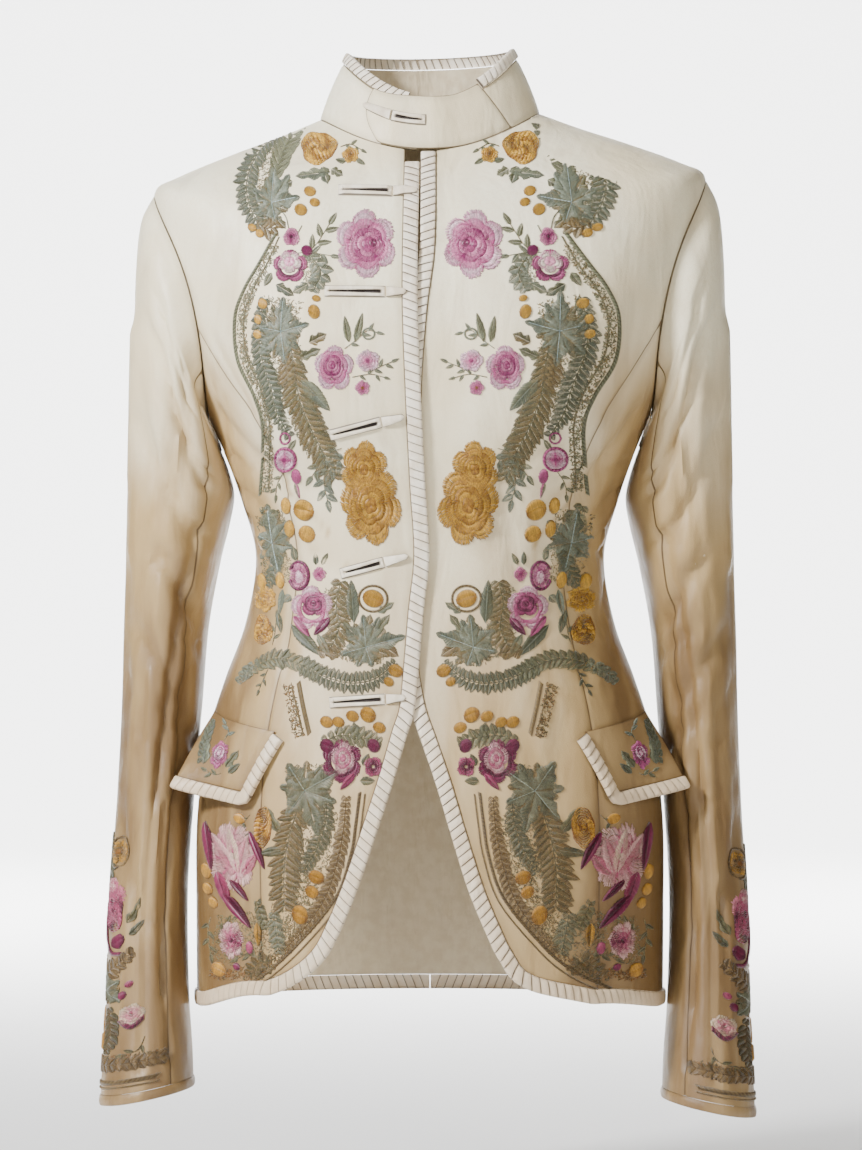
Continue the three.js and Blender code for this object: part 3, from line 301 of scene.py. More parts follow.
print("cutaway meets the princess seam at levels", [round(cutaway_level(s), 2) for _, s in SIDES])

# %% [markdown]
# ## From a grid of points to a leather shell
# Leather is a sheet with a thickness, so each panel is a shell: an outer layer of points, the same
# points moved in, and a rim that closes the border. Numpy makes all faces at once. Each point also
# keeps its distance to the nearest seam, for the finish to read, and the outer layer sinks a little
# beside a seam, where the turned edges pull the leather down.


# %% Mesh helpers
FAR_FROM_SEAM, SINK_WIDTH = 30.0, 1.3


def grid_faces(rows, columns, closed=False):
    """Four corner numbers for each cell of a grid, round again after the last row if closed."""
    i = np.arange(rows if closed else rows - 1)[:, None]
    j = np.arange(columns - 1)[None, :]
    low, high = i * columns + j, ((i + 1) % rows) * columns + j
    return np.stack([low, low + 1, high + 1, high], axis=-1).reshape(-1, 4)


def make_mesh(name, points, faces, materials, face_material=None, values=None, colours=None, sharp=50):
    """Puts arrays of points in millimetres and of equal faces into a mesh object, turned outwards."""
    corners = faces.shape[1]
    tri = np.concatenate([faces[:, [0, k, k + 1]] for k in range(1, corners - 1)])
    a, b, c = (points[tri[:, k]] for k in range(3))
    if np.einsum("ij,ij->", a, np.cross(b, c)) < 0:
        faces = faces[:, ::-1]
    mesh = bpy.data.meshes.new(name)
    mesh.vertices.add(len(points))
    mesh.vertices.foreach_set("co", (points * MM).astype(np.float32).ravel())
    mesh.loops.add(faces.size)
    mesh.loops.foreach_set("vertex_index", faces.astype(np.int32).ravel())
    mesh.polygons.add(len(faces))
    mesh.polygons.foreach_set("loop_start", np.arange(len(faces), dtype=np.int32) * corners)
    mesh.update(calc_edges=True)
    for material in materials:
        mesh.materials.append(material)
    if face_material is not None:
        mesh.polygons.foreach_set("material_index", face_material.astype(np.int32))
    for key, value in (values or {}).items():
        held = mesh.attributes.new(key, "FLOAT", "POINT")
        held.data.foreach_set("value", value.astype(np.float32).ravel())
    if colours is not None:
        rgba = np.concatenate([colours, np.ones((len(colours), 1))], axis=1).astype(np.float32)
        mesh.attributes.new("thread", "FLOAT_COLOR", "POINT").data.foreach_set("color", rgba.ravel())
    mesh.polygons.foreach_set("use_smooth", np.ones(len(faces), dtype=bool))
    if sharp:
        mesh.set_sharp_from_angle(angle=math.radians(sharp))
    mesh.validate()
    piece = bpy.data.objects.new(name, mesh)
    bpy.context.scene.collection.objects.link(piece)
    return piece


def edge_distance(outer, ends=(False, False)):
    """Millimetres along the grid to its nearest side border, and to its first or last row if asked."""
    along = np.linalg.norm(np.diff(outer, axis=1), axis=-1)
    run = np.concatenate([np.zeros((len(outer), 1)), np.cumsum(along, axis=1)], axis=1)
    distance = np.minimum(run, run[:, -1:] - run)
    down = np.linalg.norm(np.diff(outer, axis=0), axis=-1)
    fall = np.concatenate([np.zeros((1, outer.shape[1])), np.cumsum(down, axis=0)], axis=0)
    if ends[0]:
        distance = np.minimum(distance, fall)
    if ends[1]:
        distance = np.minimum(distance, fall[-1:] - fall)
    return distance


def layers(rows, columns, closed=False):
    """The faces of two layers of one grid, of which the second has the higher numbers, and the rim."""
    top, count = grid_faces(rows, columns, closed), rows * columns
    cells = top.reshape(-1, columns - 1, 4)
    strips = [cells[:, 0][:, [3, 0]], cells[:, -1][:, [1, 2]]]
    if not closed:
        strips += [cells[0][:, [0, 1]], cells[-1][:, [2, 3]]]
    near, far = np.concatenate(strips).T
    return top, top[:, ::-1] + count, np.stack([far, near, near + count, far + count], axis=-1)


def painted_shade_amount(points, out):
    """Painted shade in a warm tan, 0 to 1: down the sleeves, most on their inner sides that face the body, on
    the body's sides where they turn away from the front, towards the side seams and down to the hips, and a
    little more on the wearer's left, away from the key light."""
    x, z = np.abs(points[..., 0]), points[..., 2]
    across = out[..., 0] * np.sign(points[..., 0])
    sleeve = smooth(168, 186, x + 0.12 * np.clip(-200 - z, 0, 60))
    body = 0.36 * smooth(95, 158, x + 0.1 * np.abs(z + 300)) + 0.34 * smooth(0.45, 0.95, across)
    sleeve_and_side_shade = sleeve * (0.75 * smooth(-90, -430, z) + 0.5 * smooth(0.1, 0.9, -across)) + (1 - sleeve) * body
    low = 0.16 * smooth(-60, -300, z) + 0.3 * smooth(-240, -520, z)
    # Painted shade on the wearer's left, away from the key light.
    low = low + 0.1 * smooth(-20, 60, points[..., 0]) * smooth(-200, -300, z)
    return np.clip(0.04 + sleeve_and_side_shade * smooth(-90, -300, z) + 0.12 * sleeve + low * (1 - sleeve), 0, 1)


def make_shell(name, outer, out, wall, materials, closed=False, ends=(False, False), sink=0.45,
               values=None):
    """Two layers of one grid, wall apart along the outward vectors, joined by a rim of faces.
    The sink is its depth times e to the minus (seam distance over its width) squared."""
    rows, columns = outer.shape[:2]
    distance = edge_distance(outer, ends) if not closed else np.full((rows, columns), FAR_FROM_SEAM)
    shown = outer - out * (sink * np.exp(-((distance / SINK_WIDTH) ** 2)))[..., None]
    points = np.concatenate([shown.reshape(-1, 3), (outer - out * wall).reshape(-1, 3)])
    # Every shell carries its painted shade, 0 to 1, for the finish to read.
    values = dict(values or {}, painted_shade=painted_shade_amount(outer, out))
    top, under, rim = layers(rows, columns, closed)
    faces = np.concatenate([top, under, rim])
    kind = np.concatenate([np.zeros(len(top)), np.ones(len(under)), np.zeros(len(rim))])
    doubled = {"seam_mm": np.concatenate([distance.ravel(), distance.ravel()])}
    for key, value in values.items():
        doubled[key] = np.concatenate([value.ravel(), value.ravel()])
    return make_mesh(name, points, faces, materials, kind if len(materials) > 1 else None, doubled)


def spaced(count, crowd=0.0):
    """Shares from 0 to 1, crowded towards both ends by a sine when crowd is above 0."""
    t = np.linspace(0, 1, count)
    return t - crowd * np.sin(2 * np.pi * t) / (2 * np.pi)


print("mesh helpers ready")

# %% [markdown]
# ## Leather, trim and thread
# The jacket's leather is a thin nappa with a satin face: a fine grain of tiny closed cells, a
# slight cloudiness in its ivory colour and a darker line where two edges are turned in at a seam.
# Painted shade in a warm tan darkens it down the sleeves, on the sides turned away from the light and over
# the hips, by a shade value of the mesh, and painted brown shade lies in the hollows of its folds. The trim
# is a paler, cooler leather laid in small pleats, with painted shade as a dark line in the foot of each, and
# the same tan painted shade.
# The inside is brushed and matt. All patterns read Object coordinates or an attribute of the mesh,
# so they stay put from any side.


# %% Finishes
def linear(red, green, blue):
    """An sRGB colour of 0 to 255 as linear light."""
    c = np.array([red, green, blue], float) / 255
    return np.where(c <= 0.04045, c / 12.92, ((c + 0.055) / 1.055) ** 2.4)


def new_material(name, rough, specular=0.5, sheen=0.0, coat=0.0):
    """A Principled material with its plain numbers on its own sockets."""
    material = bpy.data.materials.new(name)
    material.use_nodes = True
    shader = material.node_tree.nodes["Principled BSDF"]
    shader.inputs["Roughness"].default_value = rough
    shader.inputs["Specular IOR Level"].default_value = specular
    shader.inputs["Sheen Weight"].default_value = sheen
    shader.inputs["Sheen Roughness"].default_value = 0.4
    shader.inputs["Coat Weight"].default_value = coat
    shader.inputs["Coat Roughness"].default_value = 0.35
    return material, material.node_tree, shader


def node(tree, kind, settings=None, **inputs):
    """A node of a kind, its settings, and its inputs by name, or i and a number, as values or sockets."""
    made = tree.nodes.new(kind)
    for key, value in (settings or {}).items():
        setattr(made, key, value)
    for key, value in inputs.items():
        numbered = key[0] == "i" and key[1:].isdigit()
        socket = made.inputs[int(key[1:]) if numbered else key.replace("_", " ")]
        if isinstance(value, bpy.types.NodeSocket):
            tree.links.new(value, socket)
        else:
            socket.default_value = value
    return made


def mixed(tree, share, a, b, blend="MIX"):
    """A colour mix of a and b by a share, each a value or a socket."""
    made = tree.nodes.new("ShaderNodeMix")
    made.data_type, made.blend_type = "RGBA", blend
    for index, value in ((0, share), (6, a), (7, b)):
        if isinstance(value, bpy.types.NodeSocket):
            tree.links.new(value, made.inputs[index])
        elif index == 0:
            made.inputs[0].default_value = value
        else:
            made.inputs[index].default_value = (*value, 1)
    return made.outputs[2]


def ramp(tree, value, low, high, to_low=0.0, to_high=1.0):
    """A value carried from one range to another and held at its ends."""
    made = tree.nodes.new("ShaderNodeMapRange")
    made.interpolation_type = "SMOOTHSTEP"
    tree.links.new(value, made.inputs[0])
    for index, number in enumerate((low, high, to_low, to_high), start=1):
        made.inputs[index].default_value = number
    return made.outputs[0]


def attribute(tree, name, output="Fac"):
    """The socket of a mesh attribute."""
    return node(tree, "ShaderNodeAttribute", {"attribute_name": name}).outputs[output]


def noise(tree, place, scale, **settings):
    """The value of a noise texture."""
    return node(tree, "ShaderNodeTexNoise", None, Vector=place, Scale=scale, **settings).outputs[0]


def bump(tree, height, strength, distance, **under):
    """A bump by a height, over another bump's normal when that is given."""
    return node(tree, "ShaderNodeBump", None, Strength=strength, Distance=distance, Height=height,
                **under).outputs[0]


def grain(tree, shader, cell_mm, depth_mm, wrinkle_mm):
    """The leather's bump: closed cells of cell_mm, soft wrinkles of wrinkle_mm, and folds twice as
    wide, drawn out to three times their width. Gives the place, the wrinkles and the folds."""
    place = node(tree, "ShaderNodeTexCoord").outputs["Object"]
    cells = node(tree, "ShaderNodeTexVoronoi", {"feature": "DISTANCE_TO_EDGE"}, Vector=place,
                 Scale=1000 / cell_mm)
    broad = noise(tree, place, 1000 / wrinkle_mm, Detail=4.0, Roughness=0.55)
    first = bump(tree, ramp(tree, cells.outputs["Distance"], 0.0, 0.28), 0.45, depth_mm * MM)
    second = bump(tree, broad, 0.35, 1.1 * MM, Normal=first)
    drawn = node(tree, "ShaderNodeMapping", None, Vector=place, Scale=(1.0, 1.0, 0.3),
                 Rotation=(0.0, 0.25, 0.0)).outputs[0]
    folds = noise(tree, drawn, 480 / wrinkle_mm, Detail=3.0, Roughness=0.5, Distortion=0.4)
    third = bump(tree, folds, 0.8, 4.0 * MM, Normal=second)
    tree.links.new(third, shader.inputs["Normal"])
    return place, broad, folds


def leather_finish(name, light, deep, tan, shade_brown, seam, rough):
    """Ivory leather: two tones in clouds, painted shade in tan and brown by the mesh's shade value, stronger
    in the hollows of the folds, more painted brown shade in those hollows, darker at turned edges, and a
    grain."""
    material, tree, shader = new_material(name, rough, specular=0.4, coat=0.08)
    place, broad, folds = grain(tree, shader, 0.9, 0.12, 14)
    clouds = noise(tree, place, 9.0, Detail=3.0, Roughness=0.5)
    tone = mixed(tree, ramp(tree, clouds, 0.35, 0.68), light, deep)
    speck = noise(tree, place, 420.0, Detail=2.0)
    tone = mixed(tree, ramp(tree, speck, 0.42, 0.75, 0.0, 0.35), tone, deep)
    # Painted shade: the mesh's shade value, stronger in the hollows of the folds, turns the tone tan and then
    # brown.
    painted_shade = node(tree, "ShaderNodeMath", {"operation": "MULTIPLY"}, i0=attribute(tree, "painted_shade"),
                i1=ramp(tree, folds, 0.3, 0.7, 1.16, 0.84)).outputs[0]
    tone = mixed(tree, ramp(tree, painted_shade, 0.0, 0.6), tone, tan)
    tone = mixed(tree, ramp(tree, painted_shade, 0.5, 1.1), tone, shade_brown)
    # Painted shade: browner in the hollows of the folds.
    tone = mixed(tree, ramp(tree, folds, 0.5, 0.34, 0.0, 0.14), tone, shade_brown)
    away = attribute(tree, "seam_mm")
    tone = mixed(tree, ramp(tree, away, 0.2, 0.9, 0.85, 0.0), tone, seam)
    tone = mixed(tree, ramp(tree, away, 1.0, 7.0, 0.16, 0.0), tone, seam)
    tree.links.new(tone, shader.inputs["Base Color"])
    tree.links.new(ramp(tree, broad, 0.3, 0.7, rough - 0.06, rough + 0.07), shader.inputs["Roughness"])
    return material


# The light and deep tones are the leather's own, the tan and the brown are painted shade, and the last colour
# is the seam line.
LEATHER = leather_finish("ivory_leather", linear(248, 241, 214), linear(235, 220, 184),
                         linear(178, 150, 104), linear(118, 92, 58), linear(92, 72, 46), 0.4)
print("leather finish made")

# %% Trim, inside and thread
TRIM, tree, shader = new_material("pleated_trim_leather", 0.45, specular=0.45, sheen=0.1, coat=0.1)
_, broad, _ = grain(tree, shader, 0.8, 0.08, 9)
tone = mixed(tree, ramp(tree, broad, 0.35, 0.65), linear(240, 231, 214), linear(226, 212, 190))
# Painted shade: tan by the mesh's shade value, and a dark line at the foot of each pleat.
tone = mixed(tree, ramp(tree, attribute(tree, "painted_shade"), 0.15, 0.8, 0.0, 0.8), tone, linear(204, 178, 142))
tone = mixed(tree, ramp(tree, attribute(tree, "pleat_shade"), 0.05, 0.75, 0.0, 0.92), tone, linear(80, 66, 54))
tree.links.new(tone, shader.inputs["Base Color"])

INSIDE, tree, shader = new_material("brushed_leather_inside", 0.9, specular=0.2, sheen=0.3)
_, broad, _ = grain(tree, shader, 0.5, 0.1, 7)
tree.links.new(mixed(tree, ramp(tree, broad, 0.3, 0.7), linear(214, 200, 172), linear(204, 188, 158)),
               shader.inputs["Base Color"])

SLIT, tree, shader = new_material("bound_leather", 0.5, specular=0.4)
_, broad, _ = grain(tree, shader, 0.8, 0.08, 9)
tone = mixed(tree, ramp(tree, broad, 0.35, 0.65), linear(236, 226, 206), linear(220, 206, 182))
# Painted shade: near black in the slit, and dark along the borders and grooves of the lips and tongues.
tone = mixed(tree, ramp(tree, attribute(tree, "painted_shade_lines"), 0.1, 0.9), tone, linear(34, 24, 18))
tree.links.new(tone, shader.inputs["Base Color"])

THREAD, tree, shader = new_material("silk_thread", 0.42, specular=0.5, sheen=0.25)
dye = attribute(tree, "thread", "Color")
ply = noise(tree, node(tree, "ShaderNodeTexCoord").outputs["Object"], 900.0, Detail=2.0)
tree.links.new(mixed(tree, ramp(tree, ply, 0.35, 0.7, 0.0, 0.35), dye, linear(60, 52, 44), "MULTIPLY"),
               shader.inputs["Base Color"])
tree.links.new(bump(tree, ply, 0.3, 0.1 * MM), shader.inputs["Normal"])
print("finishes:", [m.name for m in bpy.data.materials])

# %% [markdown]
# ## The eight panels of the body
# A centre front runs from the neck to the cutaway hem, between its trimmed edge and the princess
# seam, which ends in the armhole. The side panels fill the space under the arm. Each panel is one
# grid: its rows are levels, and its columns run from one seam to the other. Rows lie closer at the
# cutaway curve and at the shoulder, where the edge turns fastest.


# %% Panel grids
PANEL_SHARE = spaced(34, 0.6)
FAN_LEVEL = 8
LEATHER_WALL = 1.3


def centre_grid(table, top, lower, inner, reach, surface):
    """Rows from the hem to the neck. The outer edge is the princess seam, then 90 degrees less or
    plus the armhole's swing, then the shoulder seam at 90."""
    away = np.sign(table["angle"][0] - 90)
    upper = (TIP - (TIP - top) * np.linspace(0, 1, 26) ** 1.6)[::-1][1:]
    shoulder = TIP + (NECK - 0.012 - TIP) * np.linspace(0, 1, 20)[1:] ** 1.2
    level = np.concatenate([lower, upper, shoulder])
    gap = HALF_GAP / read_rows(BODY["half"], level) / math.radians(1)
    outer = np.where(level <= top, princess(table, level) + away * gap,
                     90 + away * np.where(level < TIP, armhole_swing(level, reach) + gap, gap))
    start = inner(level)
    angle = start[:, None] + (outer - start)[:, None] * PANEL_SHARE[None, :]
    return surface(angle, np.repeat(level[:, None], len(PANEL_SHARE), axis=1))


def side_grid(side, table, top, reach, levels, hem_level):
    """Rows level up to the fan's level, then spread to the armhole; the front ones start at the cutaway."""
    share = PANEL_SHARE[None, :]
    row = levels[:, None] + 0 * share
    ceiling = armhole_low(reach, top, share)
    spread = FAN_LEVEL + (row - FAN_LEVEL) * (ceiling - FAN_LEVEL) / (top - FAN_LEVEL)
    level = np.where(row > FAN_LEVEL, spread, row)
    level = level + (hem_level(share) - levels[0]) * (1 - smooth(levels[0], 1.6, row))
    away = np.sign(table["angle"][0] - 90)
    gap = HALF_GAP / read_rows(BODY["half"], level) / math.radians(1)
    inset = np.zeros(share.shape)
    inset[0, 0], inset[0, -1] = 1, -1
    angle = 90 + (princess(table, row) - 90) * share + away * gap * inset
    return side * angle, level - 0.004 * (row >= top)


def crowded(start, stop, count, power):
    """Levels from start to stop, closer at the start by a power of the share."""
    return start + (stop - start) * np.linspace(0, 1, count) ** power


def cloth(piece, width, length, area, held, *cad):
    """Attaches a leather panel to the root body that it rides on, hides the solid it stands for and prints
    its flat cut.
    """
    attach(piece, "root")
    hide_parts(*cad)
    print(f"{piece.name}: cut {width * 1000:.0f} x {length * 1000:.0f} mm, {area:.4f} m2")


def cut_of(outer):
    """The flat cut of a grid: its widest row, its longest column and its area, in metres."""
    wide = np.linalg.norm(np.diff(outer, axis=1), axis=-1).sum(axis=1).max() * MM
    tall = np.linalg.norm(np.diff(outer, axis=0), axis=-1).sum(axis=0).max() * MM
    a, b = outer[1:, 1:] - outer[:-1, :-1], outer[1:, :-1] - outer[:-1, 1:]
    area = np.linalg.norm(np.cross(a, b), axis=-1).sum() / 2 * MM * MM
    return round(float(wide), 3), round(float(tall), 3), round(float(area), 4)


def cut_panel(name, outer, out, ends=(False, False)):
    """A shell from a grid, with the flat cut that the grid measures printed."""
    width, length, area = cut_of(outer)
    piece = make_shell(f"{name}_leather", outer, out, LEATHER_WALL, [LEATHER, INSIDE], ends=ends)
    cloth(piece, width, length, min(area, width * length), "hung", name)


print("panel helpers ready")

# %% Fronts, side fronts, side backs and backs
for tag, side in SIDES:
    start = cutaway_level(side)
    on_front = lambda a, b, s=side: np.stack([front_point(s, a, b), front_normal(s, a, b)])
    on_back = lambda a, b: np.stack([body_point(a, b), ring_normal(a, b)])
    front_rows = crowded(start, FRONT_TOP, 92, 1.5)
    back_rows = crowded(HEM_LEVEL, BACK_TOP, 72, 1.0)
    grid, out = centre_grid(FRONT_PRINCESS, FRONT_TOP, front_rows, lambda v, s=side: s * edge_angle(s, v),
                            ARMHOLE["front"], lambda a, b, s=side: on_front(s * a, b))
    cut_panel(f"front_{tag}", grid, out)
    grid, out = centre_grid(BACK_PRINCESS, BACK_TOP, back_rows, lambda v: 180 + 0 * v,
                            ARMHOLE["back"], lambda a, b, s=side: on_back(s * a, b))
    cut_panel(f"back_{tag}", grid, out)
    angle, level = side_grid(side, FRONT_PRINCESS, FRONT_TOP, ARMHOLE["front"], front_rows,
                             lambda share, s=start: cutaway_hem(s, share))
    cut_panel(f"side_front_{tag}", *on_back(angle, level), ends=(False, True))
    angle, level = side_grid(side, BACK_PRINCESS, BACK_TOP, ARMHOLE["back"], back_rows,
                             lambda share: HEM_LEVEL + 0 * share)
    cut_panel(f"side_back_{tag}", *on_back(angle, level), ends=(False, True))
print("the hem is at level", round(HEM_LEVEL, 3))

# %% [markdown]
# ## Sleeves in two pieces
# A tailored sleeve is two tubes' halves sewn along a front and a back seam: a wide upper sleeve
# outside and a narrow under sleeve inside. The tube is a row of ellipses down the arm. At the top it
# takes the armhole's own outline, and that difference fades out on the way down, as the cap does.

# %% Stations of the sleeve
SLEEVE = dict(
    outer_x=[190, 199, 202.5, 204, 206, 208, 210, 212, 213.5, 216.5, 221, 222.5, 225, 226],
    outer_z=[-45, -65, -98, -145, -195, -245, -300, -355, -410, -470, -540, -610, -655, -683],
    inner_x=[152, 152.5, 144.8, 138.5, 135, 138, 145, 153, 157.5, 162.5, 167, 166, 163, 162],
    inner_z=[-203, -212, -226, -243, -260, -279, -308, -352, -405, -463, -532, -600, -644, -670],
    middle=[-3, -3, -2, 0, 3, 6, 9, 12, 13, 11, 3, -8, -16, -20],
    depth=[49, 53.5, 56, 57, 57, 56, 54, 51.5, 49.5, 47.5, 46, 44.5, 44, 44],
)
CUFF_LEVEL, SLEEVE_END, CAP_END = 12.72, 13, 3.2
SLEEVE_RISE, SLEEVE_DRAWN = {1: 0, -1: 8}, {1: 3, -1: 0}
AROUND, FRONT_SEAM, BACK_SEAM = 22, 7, 15
SLEEVE_CREASES = [
    (60, 2.6, 120, 4.4, 9, -3.0), (40, 4.2, 110, 5.6, 9, -2.6), (75, 6.0, 140, 6.9, 8, -3.0),
    (50, 7.0, 125, 7.9, 8, -2.6), (95, 8.0, 160, 8.5, 7, -2.2), (20, 3.0, 32, 6.0, 10, 2.2),
    (250, 5.6, 315, 6.5, 9, -2.4), (235, 7.2, 300, 7.7, 8, -2.4), (30, 9.2, 80, 10.2, 9, -1.8),
    (70, 3.4, 128, 3.9, 5, -1.2), (84, 5.1, 138, 5.6, 4.5, -1.3), (62, 5.9, 104, 6.2, 4, -1.0),
    (88, 6.9, 150, 7.3, 4.5, -1.4), (56, 8.2, 112, 8.6, 5, -1.1), (82, 9.0, 146, 9.3, 5, -0.9),
    (30, 7.6, 64, 8.0, 5, -0.9), (100, 10.2, 150, 10.4, 5, -0.8), (64, 1.7, 108, 2.6, 6, -1.2),
    (262, 4.6, 318, 5.3, 5, -1.1), (240, 6.4, 290, 6.8, 4.5, -1.2), (225, 8.3, 286, 8.6, 5, -1.0),
    (280, 2.2, 326, 3.4, 7, -1.3), (200, 6.8, 236, 7.3, 5, -1.0), (244, 9.6, 300, 10.0, 6, -0.8),
    (70, 1.4, 82, 4.6, 4, -1.3), (104, 1.7, 94, 5.0, 5, -1.5), (48, 2.4, 58, 6.4, 4, -1.2),
    (122, 5.4, 98, 9.0, 5, -1.8), (64, 7.4, 74, 11.2, 4, -1.4), (96, 8.4, 86, 12.2, 5, -1.5),
    (38, 8.8, 50, 12.3, 4, -1.1), (86, 3.2, 70, 7.0, 3.5, -1.2), (136, 7.6, 118, 11.0, 5, -1.6),
    (26, 5.2, 34, 8.4, 5, -1.1), (110, 9.2, 124, 12.0, 4, -1.2), (300, 1.6, 286, 5.0, 5, -1.3),
    (258, 7.9, 270, 11.6, 5, -1.4), (322, 6.0, 306, 10.4, 5, -1.3), (228, 4.0, 240, 7.6, 4, -1.1),
]
SLEEVE_MM_PER_DEGREE, SLEEVE_MM_PER_LEVEL = 0.8, 54
SLEEVE_CREASE_DEPTH = 1.7


# %% The armhole's places and the sleeve's surface
def armhole_place(k):
    """Angle and level of the armhole seam at place k: 0 to 6 down the front from the shoulder tip,
    6 to 16 round under the arm, 16 to 22 up the back, by the same swing rules as the panels."""
    k = np.asarray(k, float)
    ahead, behind = ARMHOLE["front"], ARMHOLE["back"]
    down = TIP - (TIP - FRONT_TOP) * np.clip(k / 6, 0, 1) ** 1.6
    up = TIP - (TIP - BACK_TOP) * np.clip((22 - k) / 6, 0, 1) ** 1.6
    share_ahead, share_behind = np.clip(1 - (k - 6) / 5, 0, 1), np.clip((k - 11) / 5, 0, 1)
    parts = [k <= 6, k <= 11, k <= 16]
    angle = np.select(parts, [90 - armhole_swing(down, ahead),
                              90 - armhole_swing(FRONT_TOP, ahead) * share_ahead,
                              90 + armhole_swing(BACK_TOP, behind) * share_behind],
                      90 + armhole_swing(up, behind))
    level = np.select(parts, [down, armhole_low(ahead, FRONT_TOP, share_ahead),
                              armhole_low(behind, BACK_TOP, share_behind)], up)
    return angle, level


def sleeve_ring(side, t):
    """Centre, half axis across and half depth of the ellipse at station t."""
    get = lambda name: read_rows(SLEEVE[name], t)
    lift, tilt = SLEEVE_RISE[side] * t / SLEEVE_END, SHOULDER_TILT * (1 - smooth(0, 5, t))
    draw = SLEEVE_DRAWN[side] * smooth(7, 12, t)
    outer = np.stack([side * (get("outer_x") - draw), get("middle"), get("outer_z") + lift], axis=-1)
    inner = np.stack([side * (get("inner_x") - draw), get("middle"), get("inner_z") + lift], axis=-1)
    outer[..., 2] += outer[..., 0] * tilt
    inner[..., 2] += inner[..., 0] * tilt * 0.5
    return (outer + inner) / 2, (outer - inner) / 2, get("depth")


def ring_at(ring, turn):
    """The ellipse: centre plus across times cosine, and depth times sine towards the front."""
    centre, across, depth = ring
    point = centre + across * np.cos(turn)[..., None]
    point[..., 1] -= depth * np.sin(turn)
    return point


def seam_table(side):
    """For fine places round the armhole: the ellipse turn of each, and its way off the first ellipse."""
    k = np.linspace(0, AROUND, AROUND * 12 + 1)
    angle, level = armhole_place(k)
    seam = body_point(side * angle, level)
    first = sleeve_ring(side, np.zeros(len(k)))
    away = seam - first[0]
    turn = np.unwrap(np.arctan2(-away[:, 1] / first[2],
                                (away * first[1]).sum(axis=1) / (first[1] ** 2).sum(axis=1)))
    turn[0], turn[-1] = 0, 2 * np.pi
    return k, np.maximum.accumulate(turn), seam - ring_at(first, turn)


SEAMS = {side: seam_table(side) for _, side in SIDES}


def plain_sleeve(side, k, t):
    """The ellipse at station t, moved by the armhole's difference times (1 - t / cap end) squared."""
    places, turns, offsets = SEAMS[side]
    k, t = np.broadcast_arrays(np.asarray(k, float), np.asarray(t, float))
    local = k % AROUND
    turn = np.interp(local, places, turns) + 2 * np.pi * np.floor(k / AROUND)
    point = ring_at(sleeve_ring(side, np.clip(t, 0, SLEEVE_END)), turn)
    weight = (1 - np.clip(t / CAP_END, 0, 1)) ** 2
    shift = np.stack([np.interp(local, places, offsets[:, i]) for i in range(3)], axis=-1)
    return point + shift * weight[..., None], np.degrees(turn)


def sleeve_normal(side, k, t):
    """The sleeve's normal, turned away from the middle of its ellipse."""
    low = np.maximum(t, 0.03) + 0 * np.asarray(k, float)
    normal = normal_of(lambda a, b: plain_sleeve(side, a, b)[0], k, low, 0.2, 0.03)
    away = plain_sleeve(side, k, low)[0] - sleeve_ring(side, low)[0]
    return normal * np.sign((normal * away).sum(axis=-1))[..., None]


def sleeve_point(side, k, t):
    """The plain sleeve with its creases, which start below the cap."""
    point, degrees = plain_sleeve(side, k, t)
    rise = crease_depth(SLEEVE_CREASES, degrees % 360, t, SLEEVE_MM_PER_DEGREE, SLEEVE_MM_PER_LEVEL)
    return point + sleeve_normal(side, k, t) * (SLEEVE_CREASE_DEPTH * rise * smooth(0.3, 1.4, t))[..., None]


down_middle = sleeve_ring(1, np.array(0.0))[0] - sleeve_ring(1, np.array(float(SLEEVE_END)))[0]
print("sleeve is", round(float(np.hypot(down_middle[0], down_middle[2]))), "mm long down its middle")

# %% Upper sleeves, under sleeves and cuff rims
SLEEVE_HALVES = (("under_sleeve", FRONT_SEAM, BACK_SEAM, 22),
                 ("upper_sleeve", BACK_SEAM, FRONT_SEAM + AROUND, 40))
RIM_SHARE = np.linspace(0, 1, 7)
for tag, side in SIDES:
    for name, low, high, count in SLEEVE_HALVES:
        k = (low + 0.012 + (high - low - 0.024) * spaced(count, 0.5))[None, :]
        t = np.concatenate([np.linspace(0.012, 3, 30)[:-1], np.linspace(3, CUFF_LEVEL, 92)])[:, None]
        k, t = np.broadcast_arrays(k, t)
        cut_panel(f"{name}_{tag}", sleeve_point(side, k, t), sleeve_normal(side, k, t), ends=(True, False))
    k, t = np.broadcast_arrays(np.linspace(0, AROUND, 89)[:-1][:, None],
                               np.linspace(CUFF_LEVEL + 0.011, SLEEVE_END, 7)[None, :])
    bulge = 0.35 + 0.7 * np.sin(np.pi * RIM_SHARE)[None, :, None] ** 0.6
    out = sleeve_normal(side, k, t)
    from_seam = 1.0 + 8.0 * np.sin(np.pi * RIM_SHARE)[None, :] + 0 * k
    rim = make_shell(f"cuff_rim_{tag}_leather", sleeve_point(side, k, t) + out * bulge, out, 2.0, [LEATHER],
                     closed=True, sink=0, values={"seam_mm": from_seam})
    length = cut_of(sleeve_point(side, k, t))[1]
    cloth(rim, 0.010, length, round(0.0092 * length, 5), "folded", f"cuff_rim_{tag}")
print("the cuff rims start at station", CUFF_LEVEL)

# %% [markdown]
# ## Stand collar and its strap
# The collar stands on the neck seam and leans in. Its left end has a slanting seam, where the strap
# is sewn on. The strap crosses the front and lies over the right end, to its rounded tip. Both are
# the same leaning cone, so the strap is worked out from the collar's own points, moved out.

# %% Collar surface
COLLAR_TOP = dict(half=56, fore=50, aft=56, front=14, side=49, back=50, dip=1.8)
COLLAR_SEAM_LOW, COLLAR_SEAM_HIGH, COLLAR_END, COLLAR_TRIM = 47, 33.6, -7, 8
STRAP = dict(end_low=-27, end_high=-38, lift=3.4, top=0.93, tip=5)


